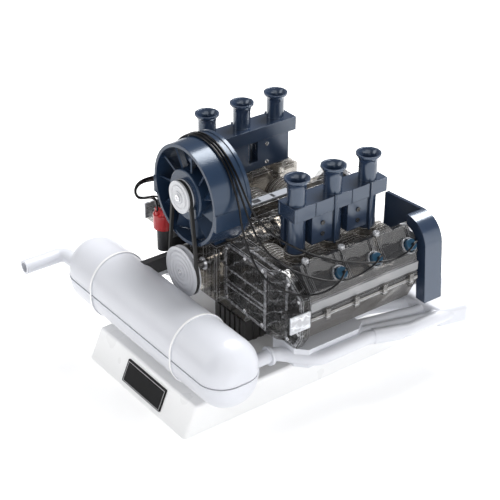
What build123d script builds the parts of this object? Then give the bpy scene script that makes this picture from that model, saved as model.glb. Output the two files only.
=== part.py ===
from build123d import *
from math import acos, asin, atan2, cos, degrees, pi, radians, sin, sqrt, tan
import os

os.makedirs("parts", exist_ok=True)

# A see-through teaching model of a flat six-cylinder engine on a white plinth.
# X runs across the engine, Y runs back along the crankshaft, Z is up.
# The origin is the middle of the plinth's underside, and lengths are in millimetres.
# A station is a distance along the crankshaft, behind the front face of its pulley.

# Plinth and the tower that carries the engine
plinth_length = 190.0
plinth_width = 117.0
plinth_height = 22.0
plinth_lean = 9.5
plinth_wall = 2.2
plinth_round = 2.5
floor_thickness = 2.2
nose_setback = 39.5
tower_width = 34.0
tower_height = 16.0
label_width = 45.5
label_height = 16.4
label_thickness = 1.0
label_round = 0.8
label_offset = 5.25

# Clearances
moulding_gap = 0.3
running_gap = 0.05
cut_overrun = 1.0
bolt_gap = 0.1

# Crank mechanism
crank_height = 85.0
bore_spacing = 29.5
bank_offset = 8.9
first_bore = 51.9
bore_radius = 10.0
crank_throw = 8.25
rod_length = 32.5
web_radius = 13.0
end_web = 2.2
big_end_width = 4.5
big_end_radius = 5.5
crankpin_radius = 3.2
small_end_radius = 3.4
small_end_width = 5.0
rod_shank_width = 4.0
rod_shank_thickness = 2.4
wrist_pin_radius = 1.8
main_radius = 4.5
crank_nose_radius = 3.0
wall_gap = 0.65
bearing_wall = 4.0
end_wall = 5.8
front_shaft_radius = 3.6
throws_deg = (0.0, 120.0, 240.0)

# Pistons
piston_gap = 0.2
crown_above_pin = 8.0
skirt_below_pin = 6.0
crown_thickness = 3.0
skirt_wall = 1.5
ring_depth = 0.6
ring_width = 0.9
ring_pitch = 1.9

# Crankcase
case_half_width = 21.0
case_top = 110.0
case_shoulder = 100.0
case_foot_half = 15.0
case_foot_rise = 12.0
case_cavity_radius = 18.3
sump_half = 15.5
sump_floor = 3.5
spine_half = 5.5
spine_height = 7.0
nose_half_width = 15.0
nose_start = 18.0
nose_wall = 2.5
nose_bottom = 62.0
nose_top = 104.0
sprocket_room = 18.0

# Cylinder barrels
barrel_radius = 12.0
spigot_radius = 10.6
spigot_start = 16.0
fin_radius = 14.2
fin_thickness = 1.2
fin_count = 8
fin_pitch = 2.9
barrel_end = 50.0

# Cylinder heads
head_reach = 70.0
head_top = 104.0
head_crest = 109.5
head_inner_bottom = 66.0
head_outer_bottom = 62.0
head_margin = 14.4
crest_start = 62.5
chamber_radius = 9.4
chamber_depth = 4.5
port_radius = 3.4
exhaust_port_x = 60.5
intake_x = 55.05
intake_pad_radius = 7.4
intake_pad_height = 4.0
intake_pad_rise = 5.7
head_slot_width = 1.2
head_slot_depth = 5.0
head_slot_count = 4
head_slot_pitch = 2.6
valve_tilt_deg = 25.0
valve_head_radius = 4.0
valve_head_thickness = 1.0
valve_stem_radius = 0.9
valve_start = 50.8
valve_spread = 4.4
valve_length = 23.5
retainer_radius = 2.7
retainer_thickness = 1.6

# Camshafts
cam_x = 76.5
cam_radius = 2.5
cam_lobe_radius = 3.1
cam_lobe_lift = 1.3
cam_lobe_width = 3.0
cam_lobe_spread = 4.0
saddle_width = 4.0
saddle_height = 10.0
saddle_lip = 3.0
crank_sprocket_radius = 4.5
cam_sprocket_radius = 9.0
sprocket_width = 2.0
chain_thickness = 1.2
right_chain_station = 35.2

# Valve covers
cover_depth = 20.7
seam_height = 81.0
seam_gap = 0.4
cover_top = 112.7
cover_bottom = 60.7
cover_wall = 1.6
upper_cover_shares = [(0.0, 0.0), (0.0, 0.92), (0.32, 1.0), (0.52, 0.77), (0.88, 0.52), (0.95, 0.0)]
lower_cover_shares = [(0.0, 0.0), (1.0, 0.0), (1.0, 0.14), (0.59, 1.0), (0.0, 0.95)]
clip_size = (2.0, 3.4, 7.5)
clip_stations = (50.0, 74.0, 98.0, 121.0)
cover_rib_width = 1.6
cover_rib_height = 1.1
seam_bars = ((0.4, 2.4), (4.2, 10.4))
well_radius = 5.5
well_height = 1.2
boss_radius = 2.4
boss_height = 1.0
boss_depth = 5.0
boss_x = 76.0
boss_offset = -8.8
plug_offset = 12.2
plug_radius = 4.1
plug_length = 5.0
plug_bore = 1.0

# Timing chain covers
chain_cover_front = 25.0
chain_cover_shoulder = 62.0
chain_cover_corner = 71.0
chain_cover_step = 7.0
chain_cover_wall = 1.8
chain_cover_shares = [(0.0, 0.12), (0.6, 0.08), (0.7, 0.0), (0.92, 0.0), (1.0, 0.2), (1.0, 0.75),
                      (0.84, 0.92), (0.72, 1.0), (0.06, 1.0), (0.0, 0.94)]
chain_cover_bottom = 56.0
chain_cover_top = 108.0
chain_cover_reach = 89.0

# Cooling fan and its housing
fan_height = 140.9
ring_front = 3.6
ring_depth_back = 24.4
ring_front_radius = 34.35
ring_back_radius = 36.0
ring_bore = 32.0
rim_radius = 36.6
rim_depth = 2.6
shoulder_bottom = 129.0
housing_foot_half = 12.0
housing_foot_start = 19.0
spider_start = 23.5
spider_depth = 2.5
spider_hub = 10.0
spider_arm = 3.0
spider_arms = 5
fan_hub_radius = 17.5
fan_front = 4.3
blade_start = 4.6
fan_depth = 13.0
blade_count = 11
blade_pitch_deg = 45.0
blade_thickness = 1.1
blade_tip_gap = 0.6
fan_shaft_radius = 2.0
alternator_radius = 14.0
alternator_length = 17.0

# Belt drive
belt_start = 0.9
belt_width = 2.2
belt_thickness = 1.8
groove_gap = 0.2
crank_pulley_radius = 17.4
crank_pulley_depth = 4.2
fan_pulley_radius = 11.0
fan_pulley_front = -0.6
fan_pulley_depth = 4.6
pulley_lip = 0.7
pulley_boss_radius = 4.0
pulley_boss_height = 0.6

# Intakes
stack_radius = 6.15
stack_bore = 4.4
stack_top = 162.3
bell_radius = 8.4
bell_height = 7.0
bell_lip = 1.2
rail_inner = 45.0
rail_outer = 62.4
rail_bottom = 134.0
rail_top = 144.0
rail_margin = 5.2
rail_end_margin = 10.9
panel_thickness = 3.0
panel_inset = 1.0
panel_bottom = 112.0
window_width = 8.0
window_bottom = 118.0
window_lead = 7.4
plate_width = 16.5
plate_thickness = 2.5
plate_outer = 61.6
plate_bottom = 113.5
plate_shift = 1.6
rod_radius = 0.9
joint_width = 0.6
joint_depth = 0.5
screw_margin = 4.0
screw_head_radius = 1.5
screw_head_height = 1.0
screw_shank_radius = 0.8
screw_shank_length = 2.0

# Oil cooler and its shroud
shroud_side = 95.0
shroud_top_side = 90.6
shroud_band_thickness = 8.5
shroud_band_start = 72.6
shroud_front = 132.0
shroud_depth = 15.0
shroud_wall = 2.2
shroud_top = 118.5
shroud_inner_top = 115.0
shroud_bottom = 59.0
shroud_corner = 19.0
shroud_inner = 36.4
cooler_inner = 62.0
cooler_outer = 79.0
cooler_bottom = 64.0
cooler_top = 104.0
cooler_start = 133.5
cooler_fin = 1.0
cooler_fin_gap = 2.0
cooler_fin_depth = 1.6
cooler_post_radius = 2.5
cooler_post_x = 66.0
cooler_post_heights = (71.0, 98.0)

# Bell housing and flywheel
bell_housing_radius = 36.0
bell_housing_wall = 2.5
bell_housing_end = 147.0
bell_housing_plate = 2.0
bell_neck_radius = 20.5
bell_neck_bore = 17.5
flywheel_radius = 31.0
flywheel_depth = 5.0
flywheel_gap = 1.2
flywheel_hole = 2.5
flywheel_hole_ring = 20.0
flywheel_holes = 6

# Silencer
silencer_half_length = 92.0
silencer_x = 5.1
silencer_back = -0.5
silencer_depth = 41.6
silencer_height = 47.6
silencer_axis_height = 59.6
silencer_section_round = 20.3
silencer_end_round = 17.0
silencer_wall = 2.0
silencer_seam = 59.0
silencer_seam_gap = 0.5
band_places = (-46.0, 49.1)
band_width = 1.8
band_rise = 0.7
seam_lip = 0.6
seam_lip_height = 1.2
tail_radius = 5.2
tail_bore = 3.6
tail_drop = 10.2
tail_reach = 104.5
tail_end = -61.2
tail_bend = 7.0

# Exhausts
exhaust_height = 45.0
pipe_radius = 4.7
neck_x = 66.0
neck_bend = 28.0
pipe_x = 88.0
pipe_start = 46.0
sleeve_x = 97.5
sleeve_start = 88.0
sleeve_end = 117.0
sleeve_radius = 5.3
pipe_bend = 12.0
flange_radius = 6.6
flange_width = 2.0
flange_station = 24.0
exchanger_inner = 56.0
exchanger_outer = 85.5
exchanger_front = 34.0
exchanger_back = 89.0
exchanger_bottom = 39.0
exchanger_top = 53.0
exchanger_shares = [(0.0, 0.0), (0.75, 0.0), (1.0, 0.12), (1.0, 0.88), (0.85, 1.0), (0.0, 1.0)]
exchanger_round = 2.5
primary_radius = 4.4
stub_radius = 4.4
collector_inner = 54.0
collector_reach = 104.5
collector_front = 135.0
collector_back = 176.0
collector_bottom = 36.0
collector_top = 50.5
collector_shares = [(0.0, 0.1), (0.15, 0.0), (0.34, 0.0), (0.9, 0.22), (1.0, 0.7), (0.86, 0.95),
                    (0.7, 1.0), (0.1, 1.0), (0.0, 0.9)]
collector_round = 4.0
collector_seam = 0.5
primary_front_share = (0.62, 0.9)
primary_back_share = (0.58, 0.8)

# Silencer bracket
bracket_x = -30.0
bracket_width = 5.0
bracket_height = 10.5
bracket_bottom = 70.5

# Distributor
distributor_x = -42.0
distributor_station = 15.0
distributor_radius = 5.0
distributor_bottom = 78.0
distributor_height = 17.0
distributor_arm_width = 7.0
distributor_arm_height = 8.0
cap_radius = 7.4
cap_wall = 1.2
cap_height = 11.0
tower_ring = 5.0
tower_radius = 1.5
tower_rise = 2.5
rotor_radius = 5.8
rotor_thickness = 3.0
rotor_shaft = 1.2

# Ignition leads
lead_diameter = 1.4
lead_turn_in = (4.1, 5.7, 3.9)
over_housing_gap = 0.3


along_x = (0, 90, 0)
along_y = (90, 0, 0)
crank_nose_y = -plinth_length / 2 + nose_setback
tower_top = plinth_height + tower_height
right_bores = [first_bore + i * bore_spacing for i in range(3)]
left_bores = [station + bank_offset for station in right_bores]
rod_reach = big_end_width / 2 + moulding_gap + end_web
case_start = right_bores[0] - rod_reach - wall_gap - end_wall
case_end = left_bores[-1] + rod_reach + wall_gap + end_wall
head_start = right_bores[0] - head_margin
head_end = right_bores[-1] + head_margin + rail_margin / 2
cover_face = head_reach
pad_top = head_top + intake_pad_rise
left_chain_station = right_chain_station + bank_offset
bell_start = left_bores[-1] + fin_radius + 2 * moulding_gap
flywheel_start = bell_start + bell_housing_plate + flywheel_gap
main_webs = [(left_bores[i] + right_bores[i + 1]) / 2 for i in range(2)]


def back(station):
    """The Y of a station along the crankshaft."""
    return crank_nose_y + station


def across(station):
    """A plane square to the crankshaft, drawn in X and Z; a part grows forward from it."""
    return Plane.XZ.offset(-back(station))


def round_along_y(radius, start, end, x=0.0, z=crank_height, mode=Mode.ADD):
    """A round disc or shaft that lies along the crankshaft."""
    with Locations((x, back((start + end) / 2), z)):
        Cylinder(radius, end - start, rotation=along_y, mode=mode)


def round_along_x(radius, start, end, station, z=crank_height, mode=Mode.ADD):
    """A round disc or bore that lies along a cylinder."""
    with Locations(((start + end) / 2, back(station), z)):
        Cylinder(radius, end - start, rotation=along_x, mode=mode)


def upright(radius, bottom, top, x, station, mode=Mode.ADD):
    """A round post or bore that stands upright."""
    with Locations((x, back(station), (bottom + top) / 2)):
        Cylinder(radius, top - bottom, mode=mode)


def block(x, stations, z, mode=Mode.ADD):
    """A box between two values on each axis."""
    with Locations(((x[0] + x[1]) / 2, back((stations[0] + stations[1]) / 2), (z[0] + z[1]) / 2)):
        Box(x[1] - x[0], stations[1] - stations[0], z[1] - z[0], mode=mode)


def from_shares(shares, corner, size):
    """The points of an outline that is given as shares of its piece's size."""
    return [(corner[0] + sx * size[0], corner[1] + sy * size[1]) for sx, sy in shares]


def save(part, name):
    """Name a finished piece and write its file."""
    part.label = name
    export_step(part, f"parts/{name}.step")


def left_twin(piece):
    """The left bank's piece: the right one mirrored and set back by the bank offset."""
    with BuildPart() as twin:
        with Locations((0, bank_offset, 0)):
            add(mirror(piece, about=Plane.YZ, mode=Mode.PRIVATE))
    return twin.part


def save_pair(piece, name):
    """Write a piece of the right bank and its twin of the left bank."""
    save(piece, f"{name}_right")
    save(left_twin(piece), f"{name}_left")


# The white plinth: a hollow box with a sloped front and a raised tower for the engine.
half_length = plinth_length / 2
half_width = plinth_width / 2
with BuildPart() as base_plinth:
    with BuildSketch(Plane.YZ):
        Polygon((-half_length, 0), (half_length, 0), (half_length, plinth_height),
                (-half_length + plinth_lean, plinth_height), align=None)
    extrude(amount=half_width, both=True)
    fillet(base_plinth.edges().filter_by(Axis.X).group_by(Axis.Z)[-1], plinth_round)
    fillet(base_plinth.edges().filter_by(Axis.X, reverse=True).group_by(Axis.Z)[-1], plinth_round)
    with BuildSketch(Plane.YZ):
        Polygon((-half_length + plinth_wall, 0), (half_length - plinth_wall, 0),
                (half_length - plinth_wall, plinth_height - plinth_wall),
                (-half_length + plinth_wall + plinth_lean, plinth_height - plinth_wall), align=None)
    extrude(amount=half_width - plinth_wall, both=True, mode=Mode.SUBTRACT)
    block((-tower_width / 2, tower_width / 2), (case_start, case_end), (plinth_height - plinth_wall, tower_top))
save(base_plinth.part, "base_plinth")

# The plate that closes the plinth's underside and rests on the table.
floor_length = plinth_length - 2 * (plinth_wall + moulding_gap)
with BuildPart() as base_floor:
    with BuildSketch(Plane.YZ):
        Polygon((-floor_length / 2, 0), (floor_length / 2, 0), (floor_length / 2, floor_thickness),
                (-floor_length / 2 + plinth_lean * floor_thickness / plinth_height, floor_thickness), align=None)
    extrude(amount=half_width - plinth_wall - moulding_gap, both=True)
save(base_floor.part, "base_floor")

# The thin plate on the plinth's sloped front.
slope_length = sqrt(plinth_lean ** 2 + plinth_height ** 2)
slope_middle = (label_offset, -half_length + plinth_lean / 2, plinth_height / 2)
slope_normal = (0, -plinth_height / slope_length, plinth_lean / slope_length)
with BuildPart() as label_plate:
    with BuildSketch(Plane(origin=slope_middle, x_dir=(1, 0, 0), z_dir=slope_normal)):
        RectangleRounded(label_width, label_height, label_round)
    extrude(amount=label_thickness)
save(label_plate.part, "label_plate")

# One half of the crankcase: a walled box with three crank chambers, a sump and a nose.
chambers = list(zip([case_start + end_wall] + [web + bearing_wall / 2 for web in main_webs],
                    [web - bearing_wall / 2 for web in main_webs] + [case_end - end_wall]))


def crankcase_half(side, bores):
    """The half on one side of the crankshaft; side is 1 for the right bank and -1 for the left."""
    with BuildPart() as half:
        with BuildSketch(across(case_end)):
            Polygon((0, tower_top), (side * case_foot_half, tower_top),
                    (side * case_half_width, tower_top + case_foot_rise),
                    (side * case_half_width, case_shoulder),
                    (side * spine_half * 2, case_top), (0, case_top), align=None)
        extrude(amount=case_end - case_start)
        spine = sorted((0, side * spine_half))
        block(spine, (case_start, case_end), (case_top - cut_overrun, case_top + spine_height))
        block(sorted((0, side * nose_half_width)), (nose_start, case_start), (nose_bottom, nose_top))
        for start, end in chambers:
            round_along_y(case_cavity_radius, start, end, mode=Mode.SUBTRACT)
            block((-sump_half, sump_half), (start, end), (tower_top + sump_floor, crank_height), Mode.SUBTRACT)
        inner = nose_half_width - nose_wall
        block((-inner, inner), (nose_start + nose_wall, case_start),
              (nose_bottom + nose_wall, nose_top - nose_wall), Mode.SUBTRACT)
        chain = right_chain_station if side > 0 else left_chain_station
        slot = sorted((0, side * (case_half_width + cut_overrun)))
        reach = sprocket_width / 2 + moulding_gap
        block(slot, (chain - reach, chain + reach),
              (crank_height - sprocket_room / 2, crank_height + sprocket_room / 2), Mode.SUBTRACT)
        round_along_y(crank_sprocket_radius + chain_thickness + moulding_gap * 2, left_chain_station - reach,
                      left_chain_station + reach, mode=Mode.SUBTRACT)
        round_along_y(main_radius + running_gap, 0, case_end + cut_overrun, mode=Mode.SUBTRACT)
        bore = sorted((side * spigot_start / 2, side * (case_half_width + cut_overrun)))
        for station in bores:
            round_along_x(spigot_radius + bolt_gap, bore[0], bore[1], station, mode=Mode.SUBTRACT)
        away = sorted((0, -side * case_half_width * 2))
        block(away, (0, case_end * 2), (0, case_top * 2), Mode.SUBTRACT)
    return half.part


save(crankcase_half(1, right_bores), "crankcase_right")
save(crankcase_half(-1, left_bores), "crankcase_left")


# Six finned cylinder barrels, each with a bore, a spigot and a row of round fins.
def barrel(side, station):
    """One barrel on its bank."""
    ends = sorted((side * spigot_start, side * barrel_end))
    body = sorted((side * case_half_width, side * barrel_end))
    round_along_x(spigot_radius, ends[0], ends[1], station)
    round_along_x(barrel_radius, body[0], body[1], station)
    for i in range(fin_count):
        fin = case_half_width + (i + 1) * fin_pitch
        faces = sorted((side * fin, side * (fin + fin_thickness)))
        round_along_x(fin_radius, faces[0], faces[1], station)
    round_along_x(bore_radius, ends[0], ends[1], station, mode=Mode.SUBTRACT)


with BuildPart() as cylinder_barrels:
    for station in right_bores:
        barrel(1, station)
    for station in left_bores:
        barrel(-1, station)
save(cylinder_barrels.part, "cylinder_barrels")


# The cylinder head of a bank, with chambers, ports, valve guides and cam saddles.
def valve_axis(station, up):
    """Where a valve's head lies and the direction in which its stem leaves; up is 1 or -1."""
    tilt = radians(valve_tilt_deg)
    foot = (valve_start, back(station), crank_height + up * valve_spread)
    return foot, (cos(tilt), 0, up * sin(tilt))


def along_valve(station, up, radius, start, end, mode=Mode.ADD):
    """A round piece on a valve's axis, between two distances from its head."""
    foot, direction = valve_axis(station, up)
    origin = tuple(f + d * start for f, d in zip(foot, direction))
    with BuildSketch(Plane(origin=origin, z_dir=direction)) as section:
        Circle(radius)
    extrude(section.sketch, amount=end - start, mode=mode)


saddle_inset = cover_wall + moulding_gap + saddle_width / 2
saddle_stations = [head_start + saddle_inset] + [
    (a + b) / 2 for a, b in zip(right_bores, right_bores[1:])] + [head_end - saddle_inset]
with BuildPart() as head:
    with BuildSketch(across(head_end)):
        Polygon((barrel_end, head_inner_bottom), (head_reach, head_outer_bottom), (head_reach, head_crest),
                (crest_start, head_top), (barrel_end, head_top), align=None)
    extrude(amount=head_end - head_start)
    for station in right_bores:
        upright(intake_pad_radius, head_top - intake_pad_height, pad_top, intake_x, station)
    for station in saddle_stations:
        lip = (head_reach, cam_x + cam_radius + saddle_lip / 2)
        block(lip, (station - saddle_width / 2, station + saddle_width / 2),
              (crank_height - saddle_height / 2, crank_height + saddle_height / 2))
    for gap in range(len(right_bores) + 1):
        centre = right_bores[0] + (gap - 0.5) * bore_spacing
        for i in range(head_slot_count):
            slot = barrel_end + (i + 1) * head_slot_pitch
            half = bore_spacing / 2 - intake_pad_radius - moulding_gap
            span = (max(centre - half, head_start - cut_overrun), min(centre + half, head_end + cut_overrun))
            block((slot, slot + head_slot_width), span, (head_top - head_slot_depth, head_top + cut_overrun),
                  Mode.SUBTRACT)
    for station in right_bores:
        round_along_x(chamber_radius, barrel_end, barrel_end + chamber_depth, station, mode=Mode.SUBTRACT)
        upright(port_radius, crank_height + valve_spread, pad_top + cut_overrun, intake_x, station, Mode.SUBTRACT)
        upright(port_radius, 0, crank_height - valve_spread, exhaust_port_x, station, Mode.SUBTRACT)
        for up in (1, -1):
            along_valve(station, up, valve_stem_radius + bolt_gap, 0, valve_length * 2, Mode.SUBTRACT)
    round_along_y(cam_radius + running_gap, head_start - cut_overrun, head_end + cut_overrun, cam_x,
                  mode=Mode.SUBTRACT)
save_pair(head.part, "cylinder_head")


# Twelve valves with their retainers, seated in the heads.
def bank_valves():
    """The six valves of the right bank."""
    with BuildPart() as valves:
        for station in right_bores:
            for up in (1, -1):
                along_valve(station, up, valve_head_radius, 0, valve_head_thickness)
                along_valve(station, up, valve_stem_radius, 0, valve_length)
                along_valve(station, up, retainer_radius, valve_length, valve_length + retainer_thickness)
    return valves.part


right_valves = bank_valves()
with BuildPart() as valves:
    add(right_valves)
    add(left_twin(right_valves))
save(valves.part, "valves")

# The upper valve cover: a thin shell with ribs and a raised well round each plug.
upper_size = (cover_depth, cover_top - seam_height - seam_gap / 2)
upper_points = from_shares(upper_cover_shares, (cover_face, seam_height + seam_gap / 2), upper_size)
slope_from, slope_to = upper_points[3], upper_points[4]
well_place = tuple((a + b) / 2 for a, b in zip(slope_from, slope_to))
slope_angle = atan2(slope_from[1] - slope_to[1], slope_to[0] - slope_from[0])
plug_direction = (sin(slope_angle), 0, cos(slope_angle))
plug_stations = [station + plug_offset for station in right_bores]


def plug_plane(station, rise=0.0):
    """The plane of the cover's sloped face at a plug, raised by some height."""
    origin = (well_place[0] + plug_direction[0] * rise, back(station), well_place[1] + plug_direction[2] * rise)
    return Plane(origin=origin, z_dir=plug_direction)


def cover_shell(points, openings):
    """A cover drawn by its outline, hollow and open at the named faces."""
    with BuildPart() as shell:
        with BuildSketch(across(head_end)):
            Polygon(*points, align=None)
        extrude(amount=head_end - head_start)
        offset(amount=-cover_wall, openings=openings(shell), kind=Kind.INTERSECTION)
    return shell.part


upper_shell = cover_shell(upper_points, lambda s: [s.faces().sort_by(Axis.X)[0], s.faces().sort_by(Axis.Z)[0]])
rib_stations = [(a + b) / 2 for a, b in zip(right_bores, right_bores[1:])]
boss_stations = [station + boss_offset for station in right_bores]
boss_top = cover_top + boss_height
cam_room = cam_radius + moulding_gap
with BuildPart() as upper_cover:
    add(upper_shell)
    round_along_y(cam_room, head_start - cut_overrun, head_start + cover_wall * 2, cam_x, mode=Mode.SUBTRACT)
    block((cam_x - cam_room, cam_x + cam_room), (head_start - cut_overrun, head_start + cover_wall * 2),
          (seam_height - cut_overrun, crank_height), Mode.SUBTRACT)
    for station in [head_start + cover_rib_width] + rib_stations + boss_stations + [head_end]:
        with BuildSketch(across(station)):
            raised = [(x + cover_rib_height, z + cover_rib_height) for x, z in upper_points[2:5]]
            Polygon(*upper_points[2:5], *reversed(raised), align=None)
        extrude(amount=cover_rib_width)
    bar_x = (cover_face + cover_depth - moulding_gap * 2 - cover_wall, cover_face + cover_depth - moulding_gap)
    for low, high in seam_bars:
        block(bar_x, (head_start, head_end), (seam_height + low, seam_height + high))
    for station in plug_stations:
        with BuildSketch(plug_plane(station)):
            Circle(well_radius)
        extrude(amount=well_height)
        with BuildSketch(plug_plane(station)):
            Circle(plug_radius + moulding_gap)
        extrude(amount=well_height + cut_overrun, mode=Mode.SUBTRACT)
    for station in boss_stations:
        upright(boss_radius, cover_top - boss_depth, boss_top, boss_x, station)
        upright(screw_shank_radius, boss_top - screw_shank_length, boss_top + cut_overrun, boss_x, station,
                Mode.SUBTRACT)
save_pair(upper_cover.part, "upper_valve_cover")

# The lower valve cover, held to the upper one by clips along the seam.
lower_drop = seam_height - seam_gap / 2 - cover_bottom
lower_points = [(cover_face + sx * cover_depth, seam_height - seam_gap / 2 - sz * lower_drop)
                for sx, sz in lower_cover_shares]
lower_shell = cover_shell(lower_points, lambda s: [s.faces().sort_by(Axis.X)[0], s.faces().sort_by(Axis.Z)[-1]])
clip_x = cover_face + cover_depth
with BuildPart() as lower_cover:
    add(lower_shell)
    for station in clip_stations:
        block((clip_x, clip_x + clip_size[0]), (station - clip_size[1] / 2, station + clip_size[1] / 2),
              (seam_height - clip_size[2] / 2, seam_height + clip_size[2] / 2))
save_pair(lower_cover.part, "lower_valve_cover")

# The cover over the timing chain of a bank, with its outer corner set back.
chain_cover_inner = nose_half_width
chain_cover_width = chain_cover_reach - chain_cover_inner
with BuildPart() as chain_cover:
    with BuildSketch(across(head_start)):
        Polygon(*from_shares(chain_cover_shares, (chain_cover_inner, chain_cover_bottom),
                             (chain_cover_width, chain_cover_top - chain_cover_bottom)), align=None)
    extrude(amount=head_start - chain_cover_front)
    with BuildSketch(Plane.XY):
        Polygon((chain_cover_inner, back(chain_cover_front)), (chain_cover_shoulder, back(chain_cover_front)),
                (chain_cover_corner, back(chain_cover_front + chain_cover_step)),
                (chain_cover_reach, back(chain_cover_front + chain_cover_step)),
                (chain_cover_reach, back(head_start)), (chain_cover_inner, back(head_start)), align=None)
    extrude(amount=chain_cover_top * 2, mode=Mode.INTERSECT)
    offset(amount=-chain_cover_wall, openings=chain_cover.faces().sort_by(Axis.Y)[-1], kind=Kind.INTERSECTION)
    block((0, chain_cover_inner + chain_cover_wall * 2),
          (right_chain_station - sprocket_width, right_chain_station + sprocket_width),
          (crank_height - sprocket_room / 2, crank_height + sprocket_room / 2), Mode.SUBTRACT)
save(chain_cover.part, "chain_cover_right")
with BuildPart() as chain_cover_left:
    add(left_twin(chain_cover.part))
    block((-case_half_width, 0), (case_start, case_end), (0, case_top), Mode.SUBTRACT)
save(chain_cover_left.part, "chain_cover_left")


# The two timing chains: closed loops from the crankshaft to each camshaft.
def loop_round(station, near, far, inner, thickness, width):
    """A closed band round two wheels; near and far are each a place and a radius."""
    for grow, mode in ((inner + thickness, Mode.ADD), (inner, Mode.SUBTRACT)):
        with BuildSketch(across(station + width / 2)) as wheels:
            with Locations(near[0]):
                Circle(near[1] + grow)
            with Locations(far[0]):
                Circle(far[1] + grow)
            make_hull(wheels.sketch_local.edges())
        extrude(wheels.sketch, amount=width, mode=mode)


with BuildPart() as timing_chains:
    for side, station in ((1, right_chain_station), (-1, left_chain_station)):
        loop_round(station, ((0, crank_height), crank_sprocket_radius), ((side * cam_x, crank_height),
                   cam_sprocket_radius), running_gap * 2, chain_thickness, sprocket_width)
save(timing_chains.part, "timing_chains")

# The crankshaft: journals and round webs; the crankpins sit in the rods' big ends.
with BuildPart() as crankshaft:
    round_along_y(crank_nose_radius, 0, nose_start)
    round_along_y(main_radius, nose_start, nose_start + nose_wall)
    round_along_y(front_shaft_radius, nose_start, case_start)
    round_along_y(main_radius, case_start, right_bores[0] - rod_reach)
    for station in (right_chain_station, left_chain_station):
        round_along_y(crank_sprocket_radius, station - sprocket_width / 2, station + sprocket_width / 2)
    for right, left in zip(right_bores, left_bores):
        round_along_y(web_radius, right - rod_reach, right - rod_reach + end_web)
        gap = big_end_width / 2 + moulding_gap
        round_along_y(web_radius, right + gap, left - gap)
        round_along_y(web_radius, left + rod_reach - end_web, left + rod_reach)
    for left, right in zip(left_bores, right_bores[1:]):
        round_along_y(main_radius, left + rod_reach, right - rod_reach)
    round_along_y(main_radius, left_bores[-1] + rod_reach, flywheel_start)
save(crankshaft.part, "crankshaft")

# The flywheel at the back end of the crankshaft, with a ring of holes.
with BuildPart() as flywheel:
    round_along_y(flywheel_radius, flywheel_start, flywheel_start + flywheel_depth)
    for k in range(flywheel_holes):
        turn = 2 * pi * k / flywheel_holes
        round_along_y(flywheel_hole, flywheel_start - cut_overrun, flywheel_start + flywheel_depth + cut_overrun,
                      flywheel_hole_ring * cos(turn), crank_height + flywheel_hole_ring * sin(turn), Mode.SUBTRACT)
    fillet(flywheel.faces().sort_by(Axis.Y)[-1].outer_wire().edges(), cover_wall / 2)
save(flywheel.part, "flywheel")

# The clear bell housing round the flywheel.
with BuildPart() as bell_housing:
    round_along_y(bell_neck_radius, case_end, bell_start + bell_housing_plate)
    round_along_y(bell_housing_radius, bell_start, bell_housing_end)
    round_along_y(bell_housing_radius - bell_housing_wall, bell_start + bell_housing_plate,
                  bell_housing_end + cut_overrun, mode=Mode.SUBTRACT)
    round_along_y(bell_neck_bore, case_end - cut_overrun, bell_start, mode=Mode.SUBTRACT)
    round_along_y(main_radius + running_gap, case_end, bell_housing_end, mode=Mode.SUBTRACT)
save(bell_housing.part, "bell_housing")


# Pistons with their wrist pins, and connecting rods with their crankpins.
def pin_reach(throw_deg):
    """How far out the wrist pin lies for a crank angle, and the rod's tilt in degrees."""
    throw = radians(throw_deg)
    side = crank_throw * sin(throw)
    return crank_throw * cos(throw) + sqrt(rod_length ** 2 - side ** 2), degrees(asin(side / rod_length))


def piston_at(side, station, throw_deg):
    """One piston, its crown outwards."""
    reach, _ = pin_reach(throw_deg)
    radius = bore_radius - piston_gap
    with BuildPart() as piston:
        ends = sorted((side * (reach - skirt_below_pin), side * (reach + crown_above_pin)))
        round_along_x(radius, ends[0], ends[1], station)
        hollow = sorted((side * (reach - skirt_below_pin - cut_overrun),
                         side * (reach + crown_above_pin - crown_thickness)))
        round_along_x(radius - skirt_wall, hollow[0], hollow[1], station, mode=Mode.SUBTRACT)
        for i in range(2):
            top = reach + crown_above_pin - (i + 1) * ring_pitch + ring_width
            groove = sorted((side * (top - ring_width), side * top))
            with BuildSketch(Plane.YZ.offset(groove[0])) as ring:
                with Locations((back(station), crank_height)):
                    Circle(radius + ring_depth)
                    Circle(radius - ring_depth, mode=Mode.SUBTRACT)
            extrude(ring.sketch, amount=ring_width, mode=Mode.SUBTRACT)
        round_along_y(wrist_pin_radius, station - radius + skirt_wall, station + radius - skirt_wall, side * reach)
    return piston.part


def rod_at(side, station, throw_deg):
    """One connecting rod, from its wrist pin to its crankpin."""
    reach, _ = pin_reach(throw_deg)
    wrist = (side * reach, crank_height)
    crankpin = (side * crank_throw * cos(radians(throw_deg)), crank_height + crank_throw * sin(radians(throw_deg)))
    with BuildPart() as rod:
        round_along_y(small_end_radius, station - small_end_width / 2, station + small_end_width / 2, *wrist)
        round_along_y(big_end_radius, station - big_end_width / 2, station + big_end_width / 2, *crankpin)
        with BuildSketch(across(station + rod_shank_thickness / 2)) as shank:
            middle = ((wrist[0] + crankpin[0]) / 2, (wrist[1] + crankpin[1]) / 2)
            with Locations(Location(middle, degrees(atan2(wrist[1] - crankpin[1], wrist[0] - crankpin[0])))):
                Rectangle(rod_length, rod_shank_width)
        extrude(amount=rod_shank_thickness)
        round_along_y(wrist_pin_radius + running_gap, station - small_end_width, station + small_end_width,
                      *wrist, mode=Mode.SUBTRACT)
    return rod.part


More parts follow.
